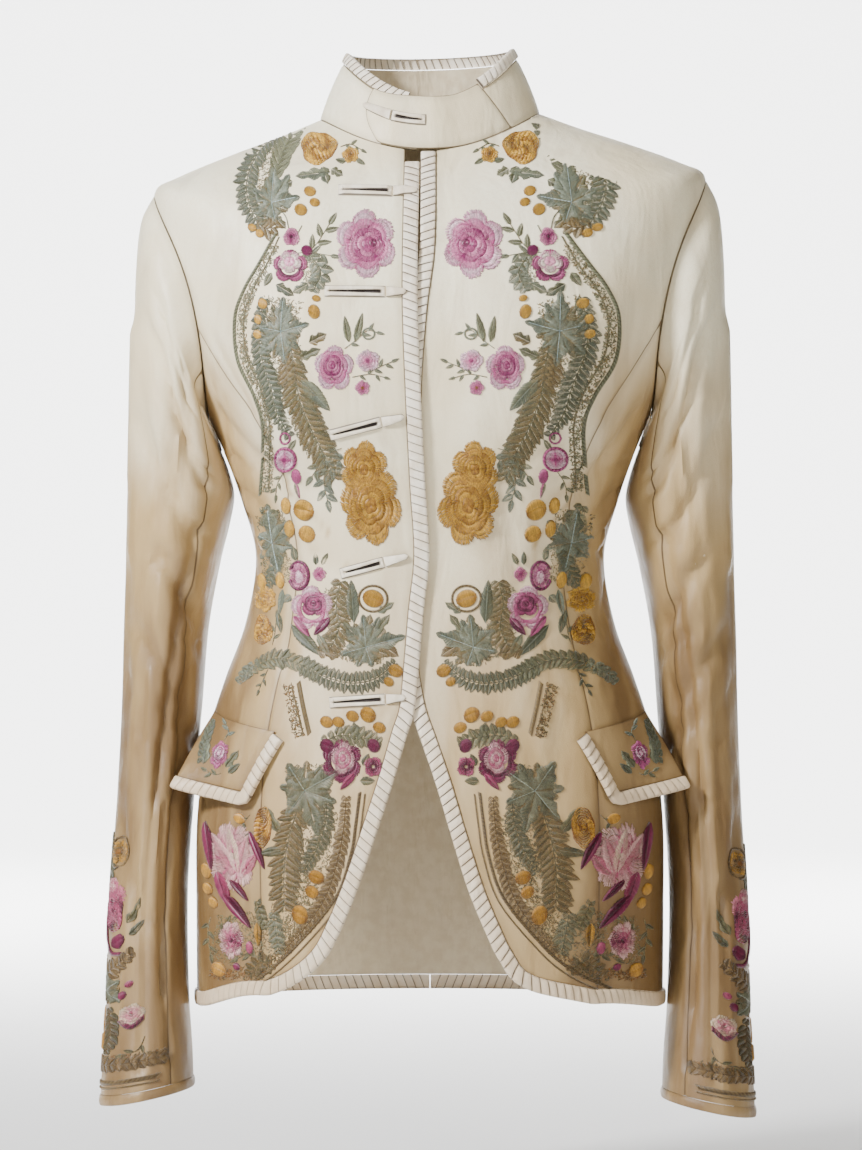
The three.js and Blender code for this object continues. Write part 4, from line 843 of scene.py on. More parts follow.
def collar_point(angle, share):
    """From the neck seam to the top edge by a share of the height, with a 1.5 mm bow between."""
    angle, share = np.broadcast_arrays(np.asarray(angle, float), np.asarray(share, float))
    base = ring_point(angle, np.full(angle.shape, float(NECK)))
    sine, cosine = np.sin(np.radians(angle)), np.cos(np.radians(angle))
    reach = np.where(cosine > 0, COLLAR_TOP["fore"], COLLAR_TOP["aft"])
    middle = np.where(cosine > 0, COLLAR_TOP["front"], COLLAR_TOP["back"])
    rise = (middle - COLLAR_TOP["side"]) * np.abs(cosine) ** COLLAR_TOP["dip"]
    x = COLLAR_TOP["half"] * sine
    top = np.stack([x, -reach * cosine, COLLAR_TOP["side"] + rise + SHOULDER_TILT * x], axis=-1)
    bow = 1.5 * np.sin(np.pi * np.clip(share, 0, 1))
    flat = np.stack([sine, -cosine, 0 * sine], axis=-1)
    return base + (top - base) * share[..., None] + flat * bow[..., None]


def collar_normal(angle, share):
    """The collar's normal by central differences."""
    return normal_of(collar_point, angle, share, 0.5, 0.02)


def trim_share(angle):
    """The share of the height where the collar's trim starts."""
    return 1 - COLLAR_TRIM / np.linalg.norm(collar_point(angle, 1) - collar_point(angle, 0), axis=-1)


def seam_angle(share):
    """The slanting seam of the collar's left end."""
    return COLLAR_SEAM_LOW + (COLLAR_SEAM_HIGH - COLLAR_SEAM_LOW) * share


def strap_spot(angle, share, lift):
    """The collar moved out by the strap's lift, which grows past the slanting seam."""
    stand = STRAP["lift"] * (1 - smooth(-1, 20, angle)) + lift
    normal = collar_normal(angle, share)
    return collar_point(angle, share) + normal * stand[..., None], normal


collar_turn = 360 + COLLAR_END - COLLAR_SEAM_LOW
base = (COLLAR_SEAM_LOW + collar_turn * spaced(190, 0.3))[:, None]
height = 0.004 + (trim_share(base) - 0.010) * np.linspace(0, 1, 16)[None, :]
to_end = (base - COLLAR_SEAM_LOW) / collar_turn
angle = base + (seam_angle(height) - COLLAR_SEAM_LOW) * (1 - to_end) ** 4
cut_panel("collar_stand", collar_point(angle, height), collar_normal(angle, height), ends=(True, False))

along, across = np.broadcast_arrays(spaced(70, 0.3)[:, None], np.linspace(0, 1, 20)[None, :])
start = seam_angle(across * STRAP["top"]) - 0.2
bulge = STRAP["tip"] * np.sin(np.pi * across) * along**6
finish_angle = STRAP["end_low"] + (STRAP["end_high"] - STRAP["end_low"]) * across - bulge
angle = start + (finish_angle - start) * along
share = 0.012 + (STRAP["top"] - 0.012) * across * (1 - 0.12 * smooth(-5, -38, angle))
pillow = 0.5 * np.sin(np.pi * across) ** 0.5
cut_panel("collar_strap", *strap_spot(angle, share, pillow), ends=(True, True))
print("collar cut", cut_of(collar_point(base, height)))

# %% [markdown]
# ## Pleated trim
# A strip of thin leather is folded into knife pleats and sewn over every raw edge. Each pleat rises slowly
# and drops at once, and the pleats slant across the strip. The grid follows the slant, so a drop is a clean
# line of points, and a value marks the foot of each pleat, where the finish paints shade as a dark line.

# %% A pleated strip along a path
PLEAT_SHARE = np.array([0.0, 0.05, 0.2, 0.45, 0.7, 0.88, 0.96])
PLEAT_RISE = np.array([0.0, 0.42, 0.7, 0.95, 1.12, 1.16, 0.98])
# Painted shade at each share of a pleat: darkest at its foot, a little before the drop.
PLEAT_SHADE = np.array([1.0, 0.42, 0.06, 0.0, 0.0, 0.0, 0.25])
STRIP_SHARE = np.array([0.0, 0.05, 0.2, 0.5, 0.8, 0.95, 1.0])
STRIP_RISE = np.array([0.0, 0.75, 1.0, 1.08, 1.0, 0.75, 0.1])
STRIP_WALL, STRIP_TURNED, PLEATS_OPENED, STRIP_FILL = 2.1, 4, 1.45, 0.85


def path_reader(points, normals, turn):
    """A reader of a path by distance: the point, the normal, and the way across, which is the
    tangent crossed with the normal, times turn."""
    run = np.concatenate([[0], np.cumsum(np.linalg.norm(np.diff(points, axis=0), axis=1))])
    pick = lambda d, rows: np.stack([np.interp(d, run, rows[:, i]) for i in range(3)], axis=-1)

    def read(distance):
        held = np.clip(distance, 0, run[-1])
        normal = unit(pick(held, normals))
        tangent = pick(np.minimum(held + 1.5, run[-1]), points) - pick(np.maximum(held - 1.5, 0), points)
        return pick(held, points), normal, unit(np.cross(tangent, normal) * turn)

    return read, float(run[-1])


def pleated_strip(name, points, normals, turn, width, pitch=6.0, slant=4.0, rise=1.15):
    """The strip: distance plus slant times the width share along, width across, and out by the pleat's rise
    times the strip's rounded profile. The slant fades out at both ends."""
    read, total = path_reader(points, normals, turn)
    count = max(int(round(total / pitch)), 2)
    pitch = total / count
    base = np.append((np.arange(count)[:, None] + PLEAT_SHARE[None, :]).ravel() * pitch, total)
    # Each point's painted shade at the foot of its pleat.
    pleat_shade = np.append(np.tile(PLEAT_SHADE, count), 1.0)
    lift = np.append(np.tile(PLEAT_RISE, count), 0.6)
    uneven = 1 + 0.12 * np.sin(base * 0.37) + 0.08 * np.sin(base * 0.113 + 1.3)
    fade = smooth(0, 7, base) * smooth(0, 7, total - base)
    distance = np.clip(base[:, None] + slant * fade[:, None] * (STRIP_SHARE[None, :] - 0.5), 0.3, total - 0.3)
    point, normal, across = read(distance)
    height = 0.3 + (rise * lift * uneven)[:, None] * STRIP_RISE[None, :] + 0.35 * STRIP_RISE[None, :]
    outer = point + across * (0.25 + width * STRIP_SHARE)[None, :, None] + normal * height[..., None]
    grid = np.broadcast_to(pleat_shade[:, None], height.shape)
    piece = make_shell(f"{name}_pleats", outer, normal, STRIP_WALL, [TRIM], sink=0, values={"pleat_shade": grid})
    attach(piece, "root")
    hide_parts(name)


# %% Trim on the fronts, the back hem and the collar
for tag, side in SIDES:
    start = cutaway_level(side)
    top = float(level_at_height(-34)) if side < 0 else NECK - 0.1
    level = np.concatenate([[top], crowded(start, top, 260, 1.35)[::-1][1:]])
    angle = edge_angle(side, level)
    share = np.linspace(1, 0, 30)[1:]
    hem_level = cutaway_hem(start, share)
    hem_angle = side * (90 + (princess(FRONT_PRINCESS, start) - 90) * share)
    points = np.concatenate([front_point(side, angle, level), body_point(hem_angle, hem_level)])
    normals = np.concatenate([front_normal(side, angle, level), ring_normal(hem_angle, hem_level)])
    pleated_strip(f"front_trim_{tag}", points, normals, side, 10)
    angle = side * np.linspace(90, 180, 90)
    level = np.full(angle.shape, HEM_LEVEL)
    pleated_strip(f"back_hem_trim_{tag}", body_point(angle, level), ring_normal(angle, level), side, 10)
angle = np.linspace(COLLAR_SEAM_HIGH + 3.4, 360 + COLLAR_END - 8, 160)
share = trim_share(angle) + 0.003
pleated_strip("collar_trim", collar_point(angle, share), collar_normal(angle, share), -1, 7.5,
              pitch=5.6, slant=3, rise=0.9)

# %% [markdown]
# ## Pocket flaps
# Each flap is a bordered piece of leather sewn into the panel along its top edge only, so its free
# corner stands away from the hip. Its grid mixes the four corners, then the stand grows with the
# square of the way to the side and a power of the way down.

# %% Flaps and their trim
FLAP = dict(top_front=(41.5, -418), top_side=(79, -406), low_front=(50, -459), low_side=(74, -452),
            lift=2.2, front_stand=2.5, side_stand=17)


def flap_point(side, along, down):
    """The corners' angles and levels mixed both ways, on the ring surface moved out by the stand."""
    corner = {name: (FLAP[name][0], float(level_at_height(FLAP[name][1])))
              for name in ("top_front", "top_side", "low_front", "low_side")}
    mix = lambda i: ((corner["top_front"][i] * (1 - along) + corner["top_side"][i] * along) * (1 - down)
                     + (corner["low_front"][i] * (1 - along) + corner["low_side"][i] * along) * down)
    angle, level = side * mix(0), mix(1)
    stand = FLAP["front_stand"] + FLAP["side_stand"] * along * along
    fall = np.maximum(down, 0)
    lift = FLAP["lift"] + stand * fall**1.3 + 0.5 * np.sin(7 * along + 2) * fall
    return ring_point(angle, level) + ring_normal(angle, level) * lift[..., None]


def flap_normal(side, along, down):
    """The flap's normal, turned towards the front."""
    normal = normal_of(lambda a, b: flap_point(side, a, b), along, down, 0.02, 0.02)
    return normal * -np.sign(normal[..., 1:2])


for tag, side in SIDES:
    down, along = np.broadcast_arrays(spaced(26, 0.4)[:, None], spaced(34, 0.4)[None, :])
    cut_panel(f"pocket_flap_{tag}", flap_point(side, along, down), flap_normal(side, along, down),
              ends=(True, True))
    along = np.concatenate([np.zeros(39), np.linspace(0, 1, 60)])
    down = np.concatenate([np.linspace(0.03, 1, 40)[:-1], np.ones(60)])
    pleated_strip(f"flap_trim_{tag}", flap_point(side, along, down), flap_normal(side, along, down), side, 9,
                  pitch=6.2, slant=3)

# %% [markdown]
# ## Bound buttonholes and their tongues
# A bound buttonhole has two rolled leather lips that meet over the slit. Beside each one, a small
# tapered tongue of the same leather points to the edge. Both are laid on the right front: a place on
# the panel is found from x and z by Newton's steps, and a low relief is raised from it.


# %% Finding places on a surface
def find_place(surface, x, z, first, second, steps=7):
    """The two parameters whose point has a given x and z: Newton's method on forward differences."""
    a, b = (np.array(np.broadcast_to(v, np.shape(x)), float) for v in (first, second))
    step_a, step_b = 0.05, 0.01
    for _ in range(steps):
        here, to_a, to_b = surface(a, b), surface(a + step_a, b), surface(a, b + step_b)
        ax, az = (to_a - here)[..., 0] / step_a, (to_a - here)[..., 2] / step_a
        bx, bz = (to_b - here)[..., 0] / step_b, (to_b - here)[..., 2] / step_b
        ex, ez = x - here[..., 0], z - here[..., 2]
        det = ax * bz - az * bx
        det = np.where(np.abs(det) < 1e-3, 1e-3, det)
        a = a + np.clip((ex * bz - ez * bx) / det, -8, 8)
        b = b + np.clip((ax * ez - az * ex) / det, -0.6, 0.6)
    return a, b


def on_front(side, x, z):
    """The point and normal of a front or side front at x and z."""
    level = level_at_height(z)
    angle = angle_at_x(x, level)
    angle, level = find_place(lambda a, b: front_point(side, a, b), x, z, angle, level)
    return front_point(side, angle, level), front_normal(side, angle, level)


def relief(name, place, length_grid, width_grid, height, painted_shade_lines):
    """A closed low relief: the grid's places, moved out by height, over the same places at 0.15 mm."""
    point, normal = place(length_grid, width_grid)
    points = np.concatenate([(point + normal * height[..., None]).reshape(-1, 3),
                             (point + normal * 0.15).reshape(-1, 3)])
    # The last grid is painted shade, kept as a value for the finish.
    return make_mesh(name, points, np.concatenate(layers(*height.shape)), [SLIT],
                     values={"painted_shade_lines": np.tile(painted_shade_lines.ravel(), 2)}, sharp=60)


BUTTONHOLES = [  # middle x, middle z, length, tilt in degrees, tongue length
    (-43.5, -54, 37, -2, 16), (-50, -123.5, 41, -1, 13), (-49.7, -215, 36, 14, 15),
    (-45.5, -308, 31, 15, 16), (-48.6, -397, 38, 4, 13),
]


def lips(length, height=8.0):
    """Grids of a buttonhole: along, across, the relief of two half-round lips, and painted shade in the slit,
    along the border and in a groove near each end.
    """
    a = np.linspace(-length / 2, length / 2, 44)[:, None]
    b = np.linspace(-height / 2, height / 2, 27)[None, :]
    inner, lip = 0.35, height / 2 - 0.35
    round_lip = np.sqrt(np.maximum(1 - ((np.abs(b) - inner - lip / 2) / (lip / 2)) ** 2, 0)) + 0 * a
    open_part = smooth(length / 2 - 1.0, length / 2 - 4.5, np.abs(a))
    rise = 0.35 + 1.75 * round_lip ** 0.8
    rise = rise + (1.5 - 1.1 * np.abs(b) / (height / 2) - rise) * (1 - open_part) * 0.8
    rise = np.where(np.abs(b) < 0.3, 0.25 + 0.9 * (1 - open_part), rise)
    ends = smooth(length / 2, length / 2 - 1.2, np.abs(a))
    sides = smooth(height / 2 + 0.1, height / 2 - 0.7, np.abs(b))
    rise = np.maximum(rise * ends * sides, 0.2)
    wedge = 0.55 + 0.75 * smooth(-length / 2, length / 2, a)
    # Painted shade in the slit, which also sinks the relief a little.
    painted_shade_lines = open_part * (1 - smooth(0.75, 1.25, np.abs(b) / wedge))
    inside_a, inside_b = length / 2 - np.abs(a), height / 2 - np.abs(b)
    # Painted shade along the border and in a groove near each end.
    outline = 0.8 * np.exp(-((np.minimum(inside_a, inside_b) - 0.45) / 0.42) ** 2)
    groove = 0.6 * np.exp(-((inside_a - 3.6) / 0.4) ** 2) * smooth(height / 2, 0.5, np.abs(b))
    return np.broadcast_arrays(a, b, rise - 0.5 * painted_shade_lines, np.maximum(np.maximum(painted_shade_lines, groove), outline))


def tongue_grid(start, length, root=7.0, tip=3.6):
    """Grids of a tongue: it narrows to its tip, is pillowed across and lifts onto the trim, with painted
    shade in its groove and along its border.
    """
    t, s = np.broadcast_arrays(np.linspace(0, 1, 22)[:, None], np.linspace(-1, 1, 13)[None, :])
    half = (root + (tip - root) * t) / 2 * np.sqrt(np.maximum(1 - smooth(0.86, 1.02, t) ** 2, 0.12))
    rise = 1.3 + 1.5 * smooth(0, 0.5, t) + 0.75 * np.sqrt(np.maximum(1 - s * s, 0)) - 0.5 * smooth(0.88, 1, t)
    # Painted shade in the groove, which also sinks it, and along the border.
    groove = 0.3 * np.exp(-((np.abs(s) - 0.72) / 0.09) ** 2)
    outline = 0.75 * np.exp(-((np.abs(s) - 0.97) / 0.09) ** 2)
    return start + length * t, s * half, rise - groove, np.maximum(groove, outline)


def fasten(name, grids, place):
    """One closed relief, riding and the solid that it stands for."""
    piece = relief(f"{name}_bound", place, *grids)
    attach(piece, "root")
    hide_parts(name)


# %% The five buttonholes of the front and the one on the strap
for number, (x, z, length, tilt, tongue) in enumerate(BUTTONHOLES, start=1):
    turn = math.radians(tilt)
    place = lambda a, b, x=x, z=z, turn=turn: on_front(-1, x + np.cos(turn) * a - np.sin(turn) * b,
                                                       z + np.sin(turn) * a + np.cos(turn) * b)
    fasten(f"buttonhole_{number}", lips(length), place)
    fasten(f"tongue_{number}", tongue_grid(length / 2 + 0.5, tongue), place)
middle, height_share = -12, 0.5
apart = lambda a, b: float(np.linalg.norm(collar_point(*a) - collar_point(*b)))
per_degree = apart((middle, height_share), (middle + 1, height_share))
tall = apart((middle, 1), (middle, 0))
on_strap = lambda a, b: strap_spot(middle - a / per_degree, height_share + b / tall, 0.45)
fasten("buttonhole_strap", lips(24.0), on_strap)
fasten("tongue_strap", tongue_grid(12.5, 20.0), on_strap)
print("6 buttonholes and 6 tongues")

# %% [markdown]
# ## Thread embroidery
# The fronts, flaps and cuffs are covered with silk needlework: roses and small blossoms in gold, pink
# and plum, round berries, and garlands of scalloped leaves in sage, khaki and grey-blue. It could be
# a bump in a material, but real silk stands off the leather and catches the light stitch by stitch.
# So every stitch is its own small closed bar, drafted in a flat plane of millimetres, u out from the
# middle of the fronts and z up, and then laid on the panel. The flowers are plain ornamental ones.

# %% Dyes and rows of stitches
SILK = {
    "sage": linear(136, 138, 108), "moss": linear(92, 92, 62), "khaki": linear(140, 118, 74),
    "bark": linear(104, 84, 46), "mist": linear(142, 150, 132), "slate": linear(104, 112, 94),
    "sky": linear(164, 184, 180), "gold": linear(228, 178, 66), "amber": linear(156, 106, 28),
    "ochre": linear(150, 112, 60), "pink": linear(226, 142, 180), "blush": linear(242, 208, 220),
    "mauve": linear(196, 92, 146), "plum": linear(142, 36, 98), "wine": linear(92, 22, 58),
    "cord": linear(140, 124, 88), "cream": linear(238, 230, 212),
}
shake = np.random.default_rng(21)


def stitch_rows(start, end, width, height, light, deep, share):
    """One row a stitch: both ends, width, height, and a colour between two dyes at its share, each
    stitch up to a tenth lighter or darker than its neighbour."""
    n = len(start)
    share = np.clip(np.broadcast_to(share, (n,)), 0, 1)[:, None]
    light, deep = SILK[light], SILK[deep]
    colour = (light + (deep - light) * share) * shake.uniform(0.8, 1.12, (n, 1))
    plain = lambda v: np.broadcast_to(np.asarray(v, float), (n,))[:, None]
    return np.concatenate([start, end, plain(width), plain(height), colour], axis=1)


def fair_curve(points, step):
    """A smooth curve through control points, cut into equal steps, and its direction at each."""
    points = np.asarray(points, float)
    fine = np.linspace(0, len(points) - 1, 40 * len(points))
    line = np.stack([read_rows(points[:, i], fine) for i in (0, 1)], axis=1)
    run = np.concatenate([[0], np.cumsum(np.linalg.norm(np.diff(line, axis=0), axis=1))])
    at = np.linspace(0, run[-1], max(int(round(run[-1] / step)), 1) + 1)
    line = np.stack([np.interp(at, run, line[:, i]) for i in (0, 1)], axis=1)
    return line, unit(np.gradient(line, axis=0))


def turned(way, degrees):
    """A direction in the plane turned by some degrees."""
    c, s = math.cos(math.radians(degrees)), math.sin(math.radians(degrees))
    return np.stack([way[..., 0] * c - way[..., 1] * s, way[..., 0] * s + way[..., 1] * c], axis=-1)


print(len(SILK), "dyes")

# %% [markdown]
# Leaves are fishbone stitch: each stitch leans from the midrib out to the edge. A garland sets such
# leaves on both sides of a stem, and a star fans them round a point. Cords are short slanted
# stitches laid side by side, and a speckled band is seed stitch, thrown at random inside its width.


# %% Leaves, garlands and cords
def leaf(base, tip, width, light, deep, lobes=0, height=0.75, vein=None):
    """Stitches from the midrib to an edge whose half width is half the width times the sine of pi
    times share to the 0.85, notched between lobes. One side is lighter than the other."""
    base, tip = np.asarray(base, float), np.asarray(tip, float)
    length = float(np.linalg.norm(tip - base))
    way = (tip - base) / max(length, 1e-6)
    count = max(int(length / 0.8), 3)
    share = (np.arange(count) + 0.5) / count
    reach = share + 0.24 * (1 - share)
    half = width / 2 * np.sin(np.pi * np.clip(reach, 0.02, 0.995) ** 0.85) ** 0.7
    if lobes:
        half = half * (1 - 0.42 * np.abs(np.cos(np.pi * lobes * reach)) ** 3)
    rows = []
    for hand, tone in ((1, 0.15), (-1, 0.7)):
        side = turned(way, 90 * hand)
        start = base + way * (length * share)[:, None]
        wide = half * shake.uniform(0.9, 1.06, count)
        end = base + way * (length * reach)[:, None] + side * wide[:, None]
        wave = 0.25 * np.abs(np.cos(np.pi * lobes * reach)) if lobes else 0
        share_of_deep = tone + wave + shake.uniform(-0.25, 0.25, count)
        rows.append(stitch_rows(start, end, 0.85, height, light, deep, share_of_deep))
    if vein:
        rows.append(line([base, base + (tip - base) * 0.85], 0.8, vein, vein, height + 0.25))
    return np.concatenate(rows)


def line(points, width, light, deep, height=0.75):
    """Stem stitch: a running line of stitches that overlap by a quarter."""
    at, way = fair_curve(points, 2.2)
    turns = np.arange(len(at) - 1) % 2
    return stitch_rows(at[:-1], at[1:] + way[1:] * 0.6, width, height, light, deep, turns)


def garland(points, width, light, deep, pitch=5.0, lean=58, ends=(0.6, 0.6)):
    """Leaves on both sides of a stem, leaning forward, full in the middle and smaller at the ends."""
    at, way = fair_curve(points, pitch)
    grow = np.interp(np.linspace(0, 1, len(at)), [0, 0.3, 0.7, 1], [ends[0], 1, 1, ends[1]])
    rows = [line(points, 0.9, deep, deep)]
    for spot, forward, size in zip(at, way, grow):
        for hand in (1, -1):
            to = turned(forward, hand * (lean + shake.uniform(-7, 7)))
            reach = width * 0.56 * size * shake.uniform(0.88, 1.14)
            rows.append(leaf(spot, spot + to * reach, pitch * 1.35 * (0.4 + 0.6 * size), light, deep))
    return np.concatenate(rows)


def star(centre, leaves, light, deep):
    """Broad lobed leaves round a point, each given by its compass angle, length and width. Every
    other one is shorter, in brown tones, and lies under its neighbours."""
    rows = []
    for number, (angle, length, width) in enumerate(leaves):
        way = turned(np.array([1.0, 0.0]), angle + shake.uniform(-6, 6))
        dyes, size, height = (("khaki", "moss"), 0.8, 0.7) if number % 2 else ((light, deep), 1.0, 0.95)
        rows.append(leaf(centre, centre + way * length * size * shake.uniform(0.9, 1.15), width * 1.5, *dyes,
                         lobes=2.5, height=height, vein="sky" if number % 4 == 0 else None))
    return np.concatenate(rows)


def cord(points, width, light, deep, height=1.0):
    """Slanted stitches across a path, one after the other, light and deep by turns."""
    at, way = fair_curve(points, 0.85)
    side = turned(way, 90) * width / 2 + way * width * 0.35
    return stitch_rows(at - side, at + side, 0.95, height, light, deep, (np.arange(len(at)) % 3) / 2)


def speckle(points, width, dyes, density=0.42, height=0.75):
    """Seed stitch along a path: short stitches at random places and turns inside the width."""
    at, way = fair_curve(points, 0.5)
    count = int(len(at) * 0.5 * width * density)
    pick = shake.integers(0, len(at), count)
    middle = at[pick] + turned(way[pick], 90) * shake.uniform(-width / 2, width / 2, (count, 1))
    turn = shake.uniform(0, np.pi, count)
    half = np.stack([np.cos(turn), np.sin(turn)], axis=1) * shake.uniform(0.7, 1.2, (count, 1))
    start, end, turns = middle - half, middle + half, len(dyes)
    return np.concatenate([stitch_rows(start[k::turns], end[k::turns], 0.8, height, dye, dye, 0)
                           for k, dye in enumerate(dyes)])


def bed(points, width):
    """Low seed stitch that fills the ground between leaves."""
    return speckle(points, width, ["khaki", "sage", "moss", "cord"], 0.46, 0.5)


print("a leaf of 12 mm takes", len(leaf((0, 0), (12, 0), 5, "sage", "moss")), "stitches")

# %% [markdown]
# Blossoms are long and short stitch, shaded from the heart to the edge of each petal. A rose is
# worked in rings of stem stitch, whose shade turns as the rings grow, so that petals seem to lie
# over each other. A full rose has layers of petals, each smaller and higher than the one under it.
# A berry is padded satin stitch, highest in its middle.


# %% Blossoms, roses and berries
def around(centre, radius, angle, tall):
    """Points on an oval: centre plus radius times cosine, and tall times radius times sine."""
    oval = np.stack([radius * np.cos(angle), tall * radius * np.sin(angle)], axis=1)
    return np.asarray(centre, float) + oval


def berry(centre, radius, light="gold", deep="amber", tall=1.0, turn=20, height=1.5):
    """Parallel stitches over a dome: both length and height follow the root of 1 less offset squared."""
    count = max(int(2 * radius / 0.72), 3)
    offset = (np.arange(count) + 0.5) / count * 2 - 1
    dome = np.sqrt(1 - offset**2)
    flat = np.stack([offset * radius, np.zeros(count)], axis=1)
    half = np.stack([0.12 * radius * dome, dome * radius * 0.98], axis=1)
    lay = lambda share: turned(flat + half * share, turn) * np.array([1.0, tall]) + centre
    parts = [(-1, 1, 0.0)] if radius < 5 else [(-1, 0.25, 0.2), (-0.25, 1, 0.0)]
    return np.concatenate([stitch_rows(lay(low), lay(high), 0.9, 0.7 + (height - 0.7) * dome, light, deep,
                                       offset**2 * 0.8 + extra + shake.uniform(-0.15, 0.25, count))
                           for low, high, extra in parts])


def blossom(centre, radius, petals, light, deep, heart="plum", tall=1.0, turn=0.0, rings=3, core=0.24):
    """Rings of stitches from the heart outwards. The edge is the radius times 0.8 plus 0.2 times the
    absolute cosine of half the petals' turn, so it dips between petals, where it is also deeper."""
    rows = []
    for ring in range(rings):
        low, high = (core + (1 - core) * (ring + k) / rings for k in (-0.35, 1.0))
        count = max(int(2 * np.pi * radius * high / 0.85), 8)
        angle = (np.arange(count) + shake.uniform(-0.3, 0.3, count)) / count * 2 * np.pi
        lobe = np.abs(np.cos(petals * (angle - turn) / 2))
        edge = 0.8 + 0.2 * lobe**0.7
        start = around(centre, radius * max(low, 0.1) * edge, angle, tall)
        end = around(centre, radius * high * edge * shake.uniform(0.9, 1.04, count), angle + 0.1, tall)
        share = 1 - ring / max(rings - 1, 1) * 0.75 + 0.7 * (1 - lobe) ** 2 - 0.2
        rows.append(stitch_rows(start, end, 0.9, 1.25 - 0.15 * ring, light, deep,
                                share + shake.uniform(-0.15, 0.15, count)))
    if heart:
        rows.append(berry(centre, radius * core * 1.2, heart, heart, tall, height=1.7))
    return np.concatenate(rows)


def rose(centre, radius, light, deep, tall=1.0, petals=3, swirl=5.5, tilt=0.0, lines=0.3):
    """Rings of stem stitch. The shade is half plus half the sine of petals times the angle plus swirl
    times the radius share, and the rings bulge with it, so the light bands read as petals."""
    rows = []
    for ring, r in enumerate(np.arange(0.7, radius, 0.8)):
        count = max(int(2 * np.pi * r * (1 + tall) / 2 / 2.5), 4)
        angle = 2 * np.pi * (np.arange(count) + shake.random()) / count
        step = 2 * np.pi / count * 1.15
        part = r / radius
        bulge = lambda a: r * (1 + 0.09 * part * np.sin(petals * a + swirl * part + tilt)
                               + 0.04 * part * np.sin(7 * a))
        share = 0.5 + 0.6 * np.sin(petals * angle + swirl * part * 1.6 + tilt + 1.0) + lines * (ring % 3 - 1)
        start = around(centre, bulge(angle), angle, tall)
        end = around(centre, bulge(angle + step), angle + step, tall)
        rows.append(stitch_rows(start, end, 0.95, 1.0 + 0.6 * (1 - part) + 0.25 * (1 - share), light, deep,
                                share + shake.uniform(-0.2, 0.2, count)))
    return np.concatenate(rows)


def full_rose(centre, radius, light, deep, tall=1.0, turn=0.0,
              layers=((1.0, 0.5, 6), (0.72, 0.3, 5), (0.46, 0.0, 4)), height=0.8):
    """Layers of petals, each a lower and an upper ring of stitches from its inner to its outer share
    of the radius. The outer edge is 0.7 plus 0.3 times the root of the petal's cosine, and the thread
    is deep at the foot and between petals, light in the middle and a little deeper at the edge."""
    rows = []
    for layer, (outer, inner, petals) in enumerate(layers):
        count = int(2 * np.pi * radius * outer / 0.8)
        angle = (np.arange(count) + shake.uniform(-0.3, 0.3, count)) / count * 2 * np.pi
        lobe = np.abs(np.cos(petals * (angle - turn - 0.9 * layer) / 2)) ** 0.5
        reach = radius * outer * (0.7 + 0.3 * lobe)
        for low, high, tone in ((0.0, 0.5, 0.75), (0.42, 0.8, 0.1), (0.74, 1.0, 0.35)):
            near, far = (radius * inner + (reach - radius * inner) * v for v in (low, high))
            share = tone + 0.9 * (1 - lobe) ** 1.5 + shake.uniform(-0.15, 0.2, count)
            start = around(centre, near, angle, tall)
            end = around(centre, far * shake.uniform(0.97, 1.03, count), angle + 0.06, tall)
            rise = height + 0.28 * layer + 0.12 * (1 - low)
            rows.append(stitch_rows(start, end, 0.9, rise, light, deep, share))
    return np.concatenate(rows)


def sprig(points, leaf_length, every, light, deep, width=0.4):
    """A stem with single leaves by turns to both sides and one at its tip."""
    at, way = fair_curve(points, every)
    rows = [line(points, 0.8, "cord", deep)]
    for number, (spot, forward) in enumerate(zip(at[1:], way[1:])):
        last = number == len(at) - 2
        to = forward if last else turned(forward, 46 * (-1) ** number)
        rows.append(leaf(spot, spot + to * leaf_length, leaf_length * width, light, deep))
    return np.concatenate(rows)


def ring(centre, radius, low, high, count, tall, *cord_values):
    """A cord bent round an oval, from one turn to another in radians, through count places."""
    return cord(around(centre, radius, np.linspace(low, high, count), tall), *cord_values)


print("a rose of 10 mm takes", len(rose((0, 0), 10, "gold", "amber")), "stitches")

# %% [markdown]
# ## The embroidery's layout
# Both fronts carry the same layout, mirrored about the line where they close, so it is drafted once.
# It fills the space beside the buttonholes, follows the armhole with a double border, and runs down
# the skirt inside the cutaway edge. Each side shakes its own stitches, so the halves aren't copies.
# The draft is a table with one motif a line: its kind, its places as u,z in millimetres, and then
# sizes and dyes in the order of that kind's function. A > joins the places of a path, and a path
# that is too long for its line goes on in the next one, which then starts with a >. Three numbers
# between commas are a star's leaf or a rose's layer, and a - leaves out a blossom's heart.

# %% How a table of motifs is read
KINDS = {make.__name__: make for make in (leaf, line, garland, star, cord, ring, speckle, bed, berry,
                                          blossom, rose, full_rose, sprig)}


def read_value(word):
    """A word as a list (with >), a tuple (with commas), dyes (with /), nothing (-), a number or a name."""
    if ">" in word:
        return [read_value(part) for part in word.split(">") if part]
    if "," in word:
        return tuple(read_value(part) for part in word.split(","))
    if "/" in word:
        return word.split("/")
    if word == "-":
        return None
    try:
        return float(word) if "." in word else int(word)
    except ValueError:
        return word


def read_motif(kind, *words):
    """One motif's stitches: its function, called with its words in order and its named ones."""
    named = dict(word.split("=") for word in words if "=" in word)
    values = [read_value(word) for word in words if "=" not in word]
    return KINDS[kind](*values, **{key: read_value(word) for key, word in named.items()})


def read_motifs(table):
    """The stitches of every motif of a table, in its order."""
    return [read_motif(*text.split()) for text in table.strip().replace("\n>", ">").split("\n")]


def berries(low, high):
    """All berries whose height lies between low and high."""
    return [berry((u, z), radius, "gold", "amber", tall) for u, z, radius, tall in BERRIES if low < z <= high]


print("kinds of motif:", ", ".join(KINDS))

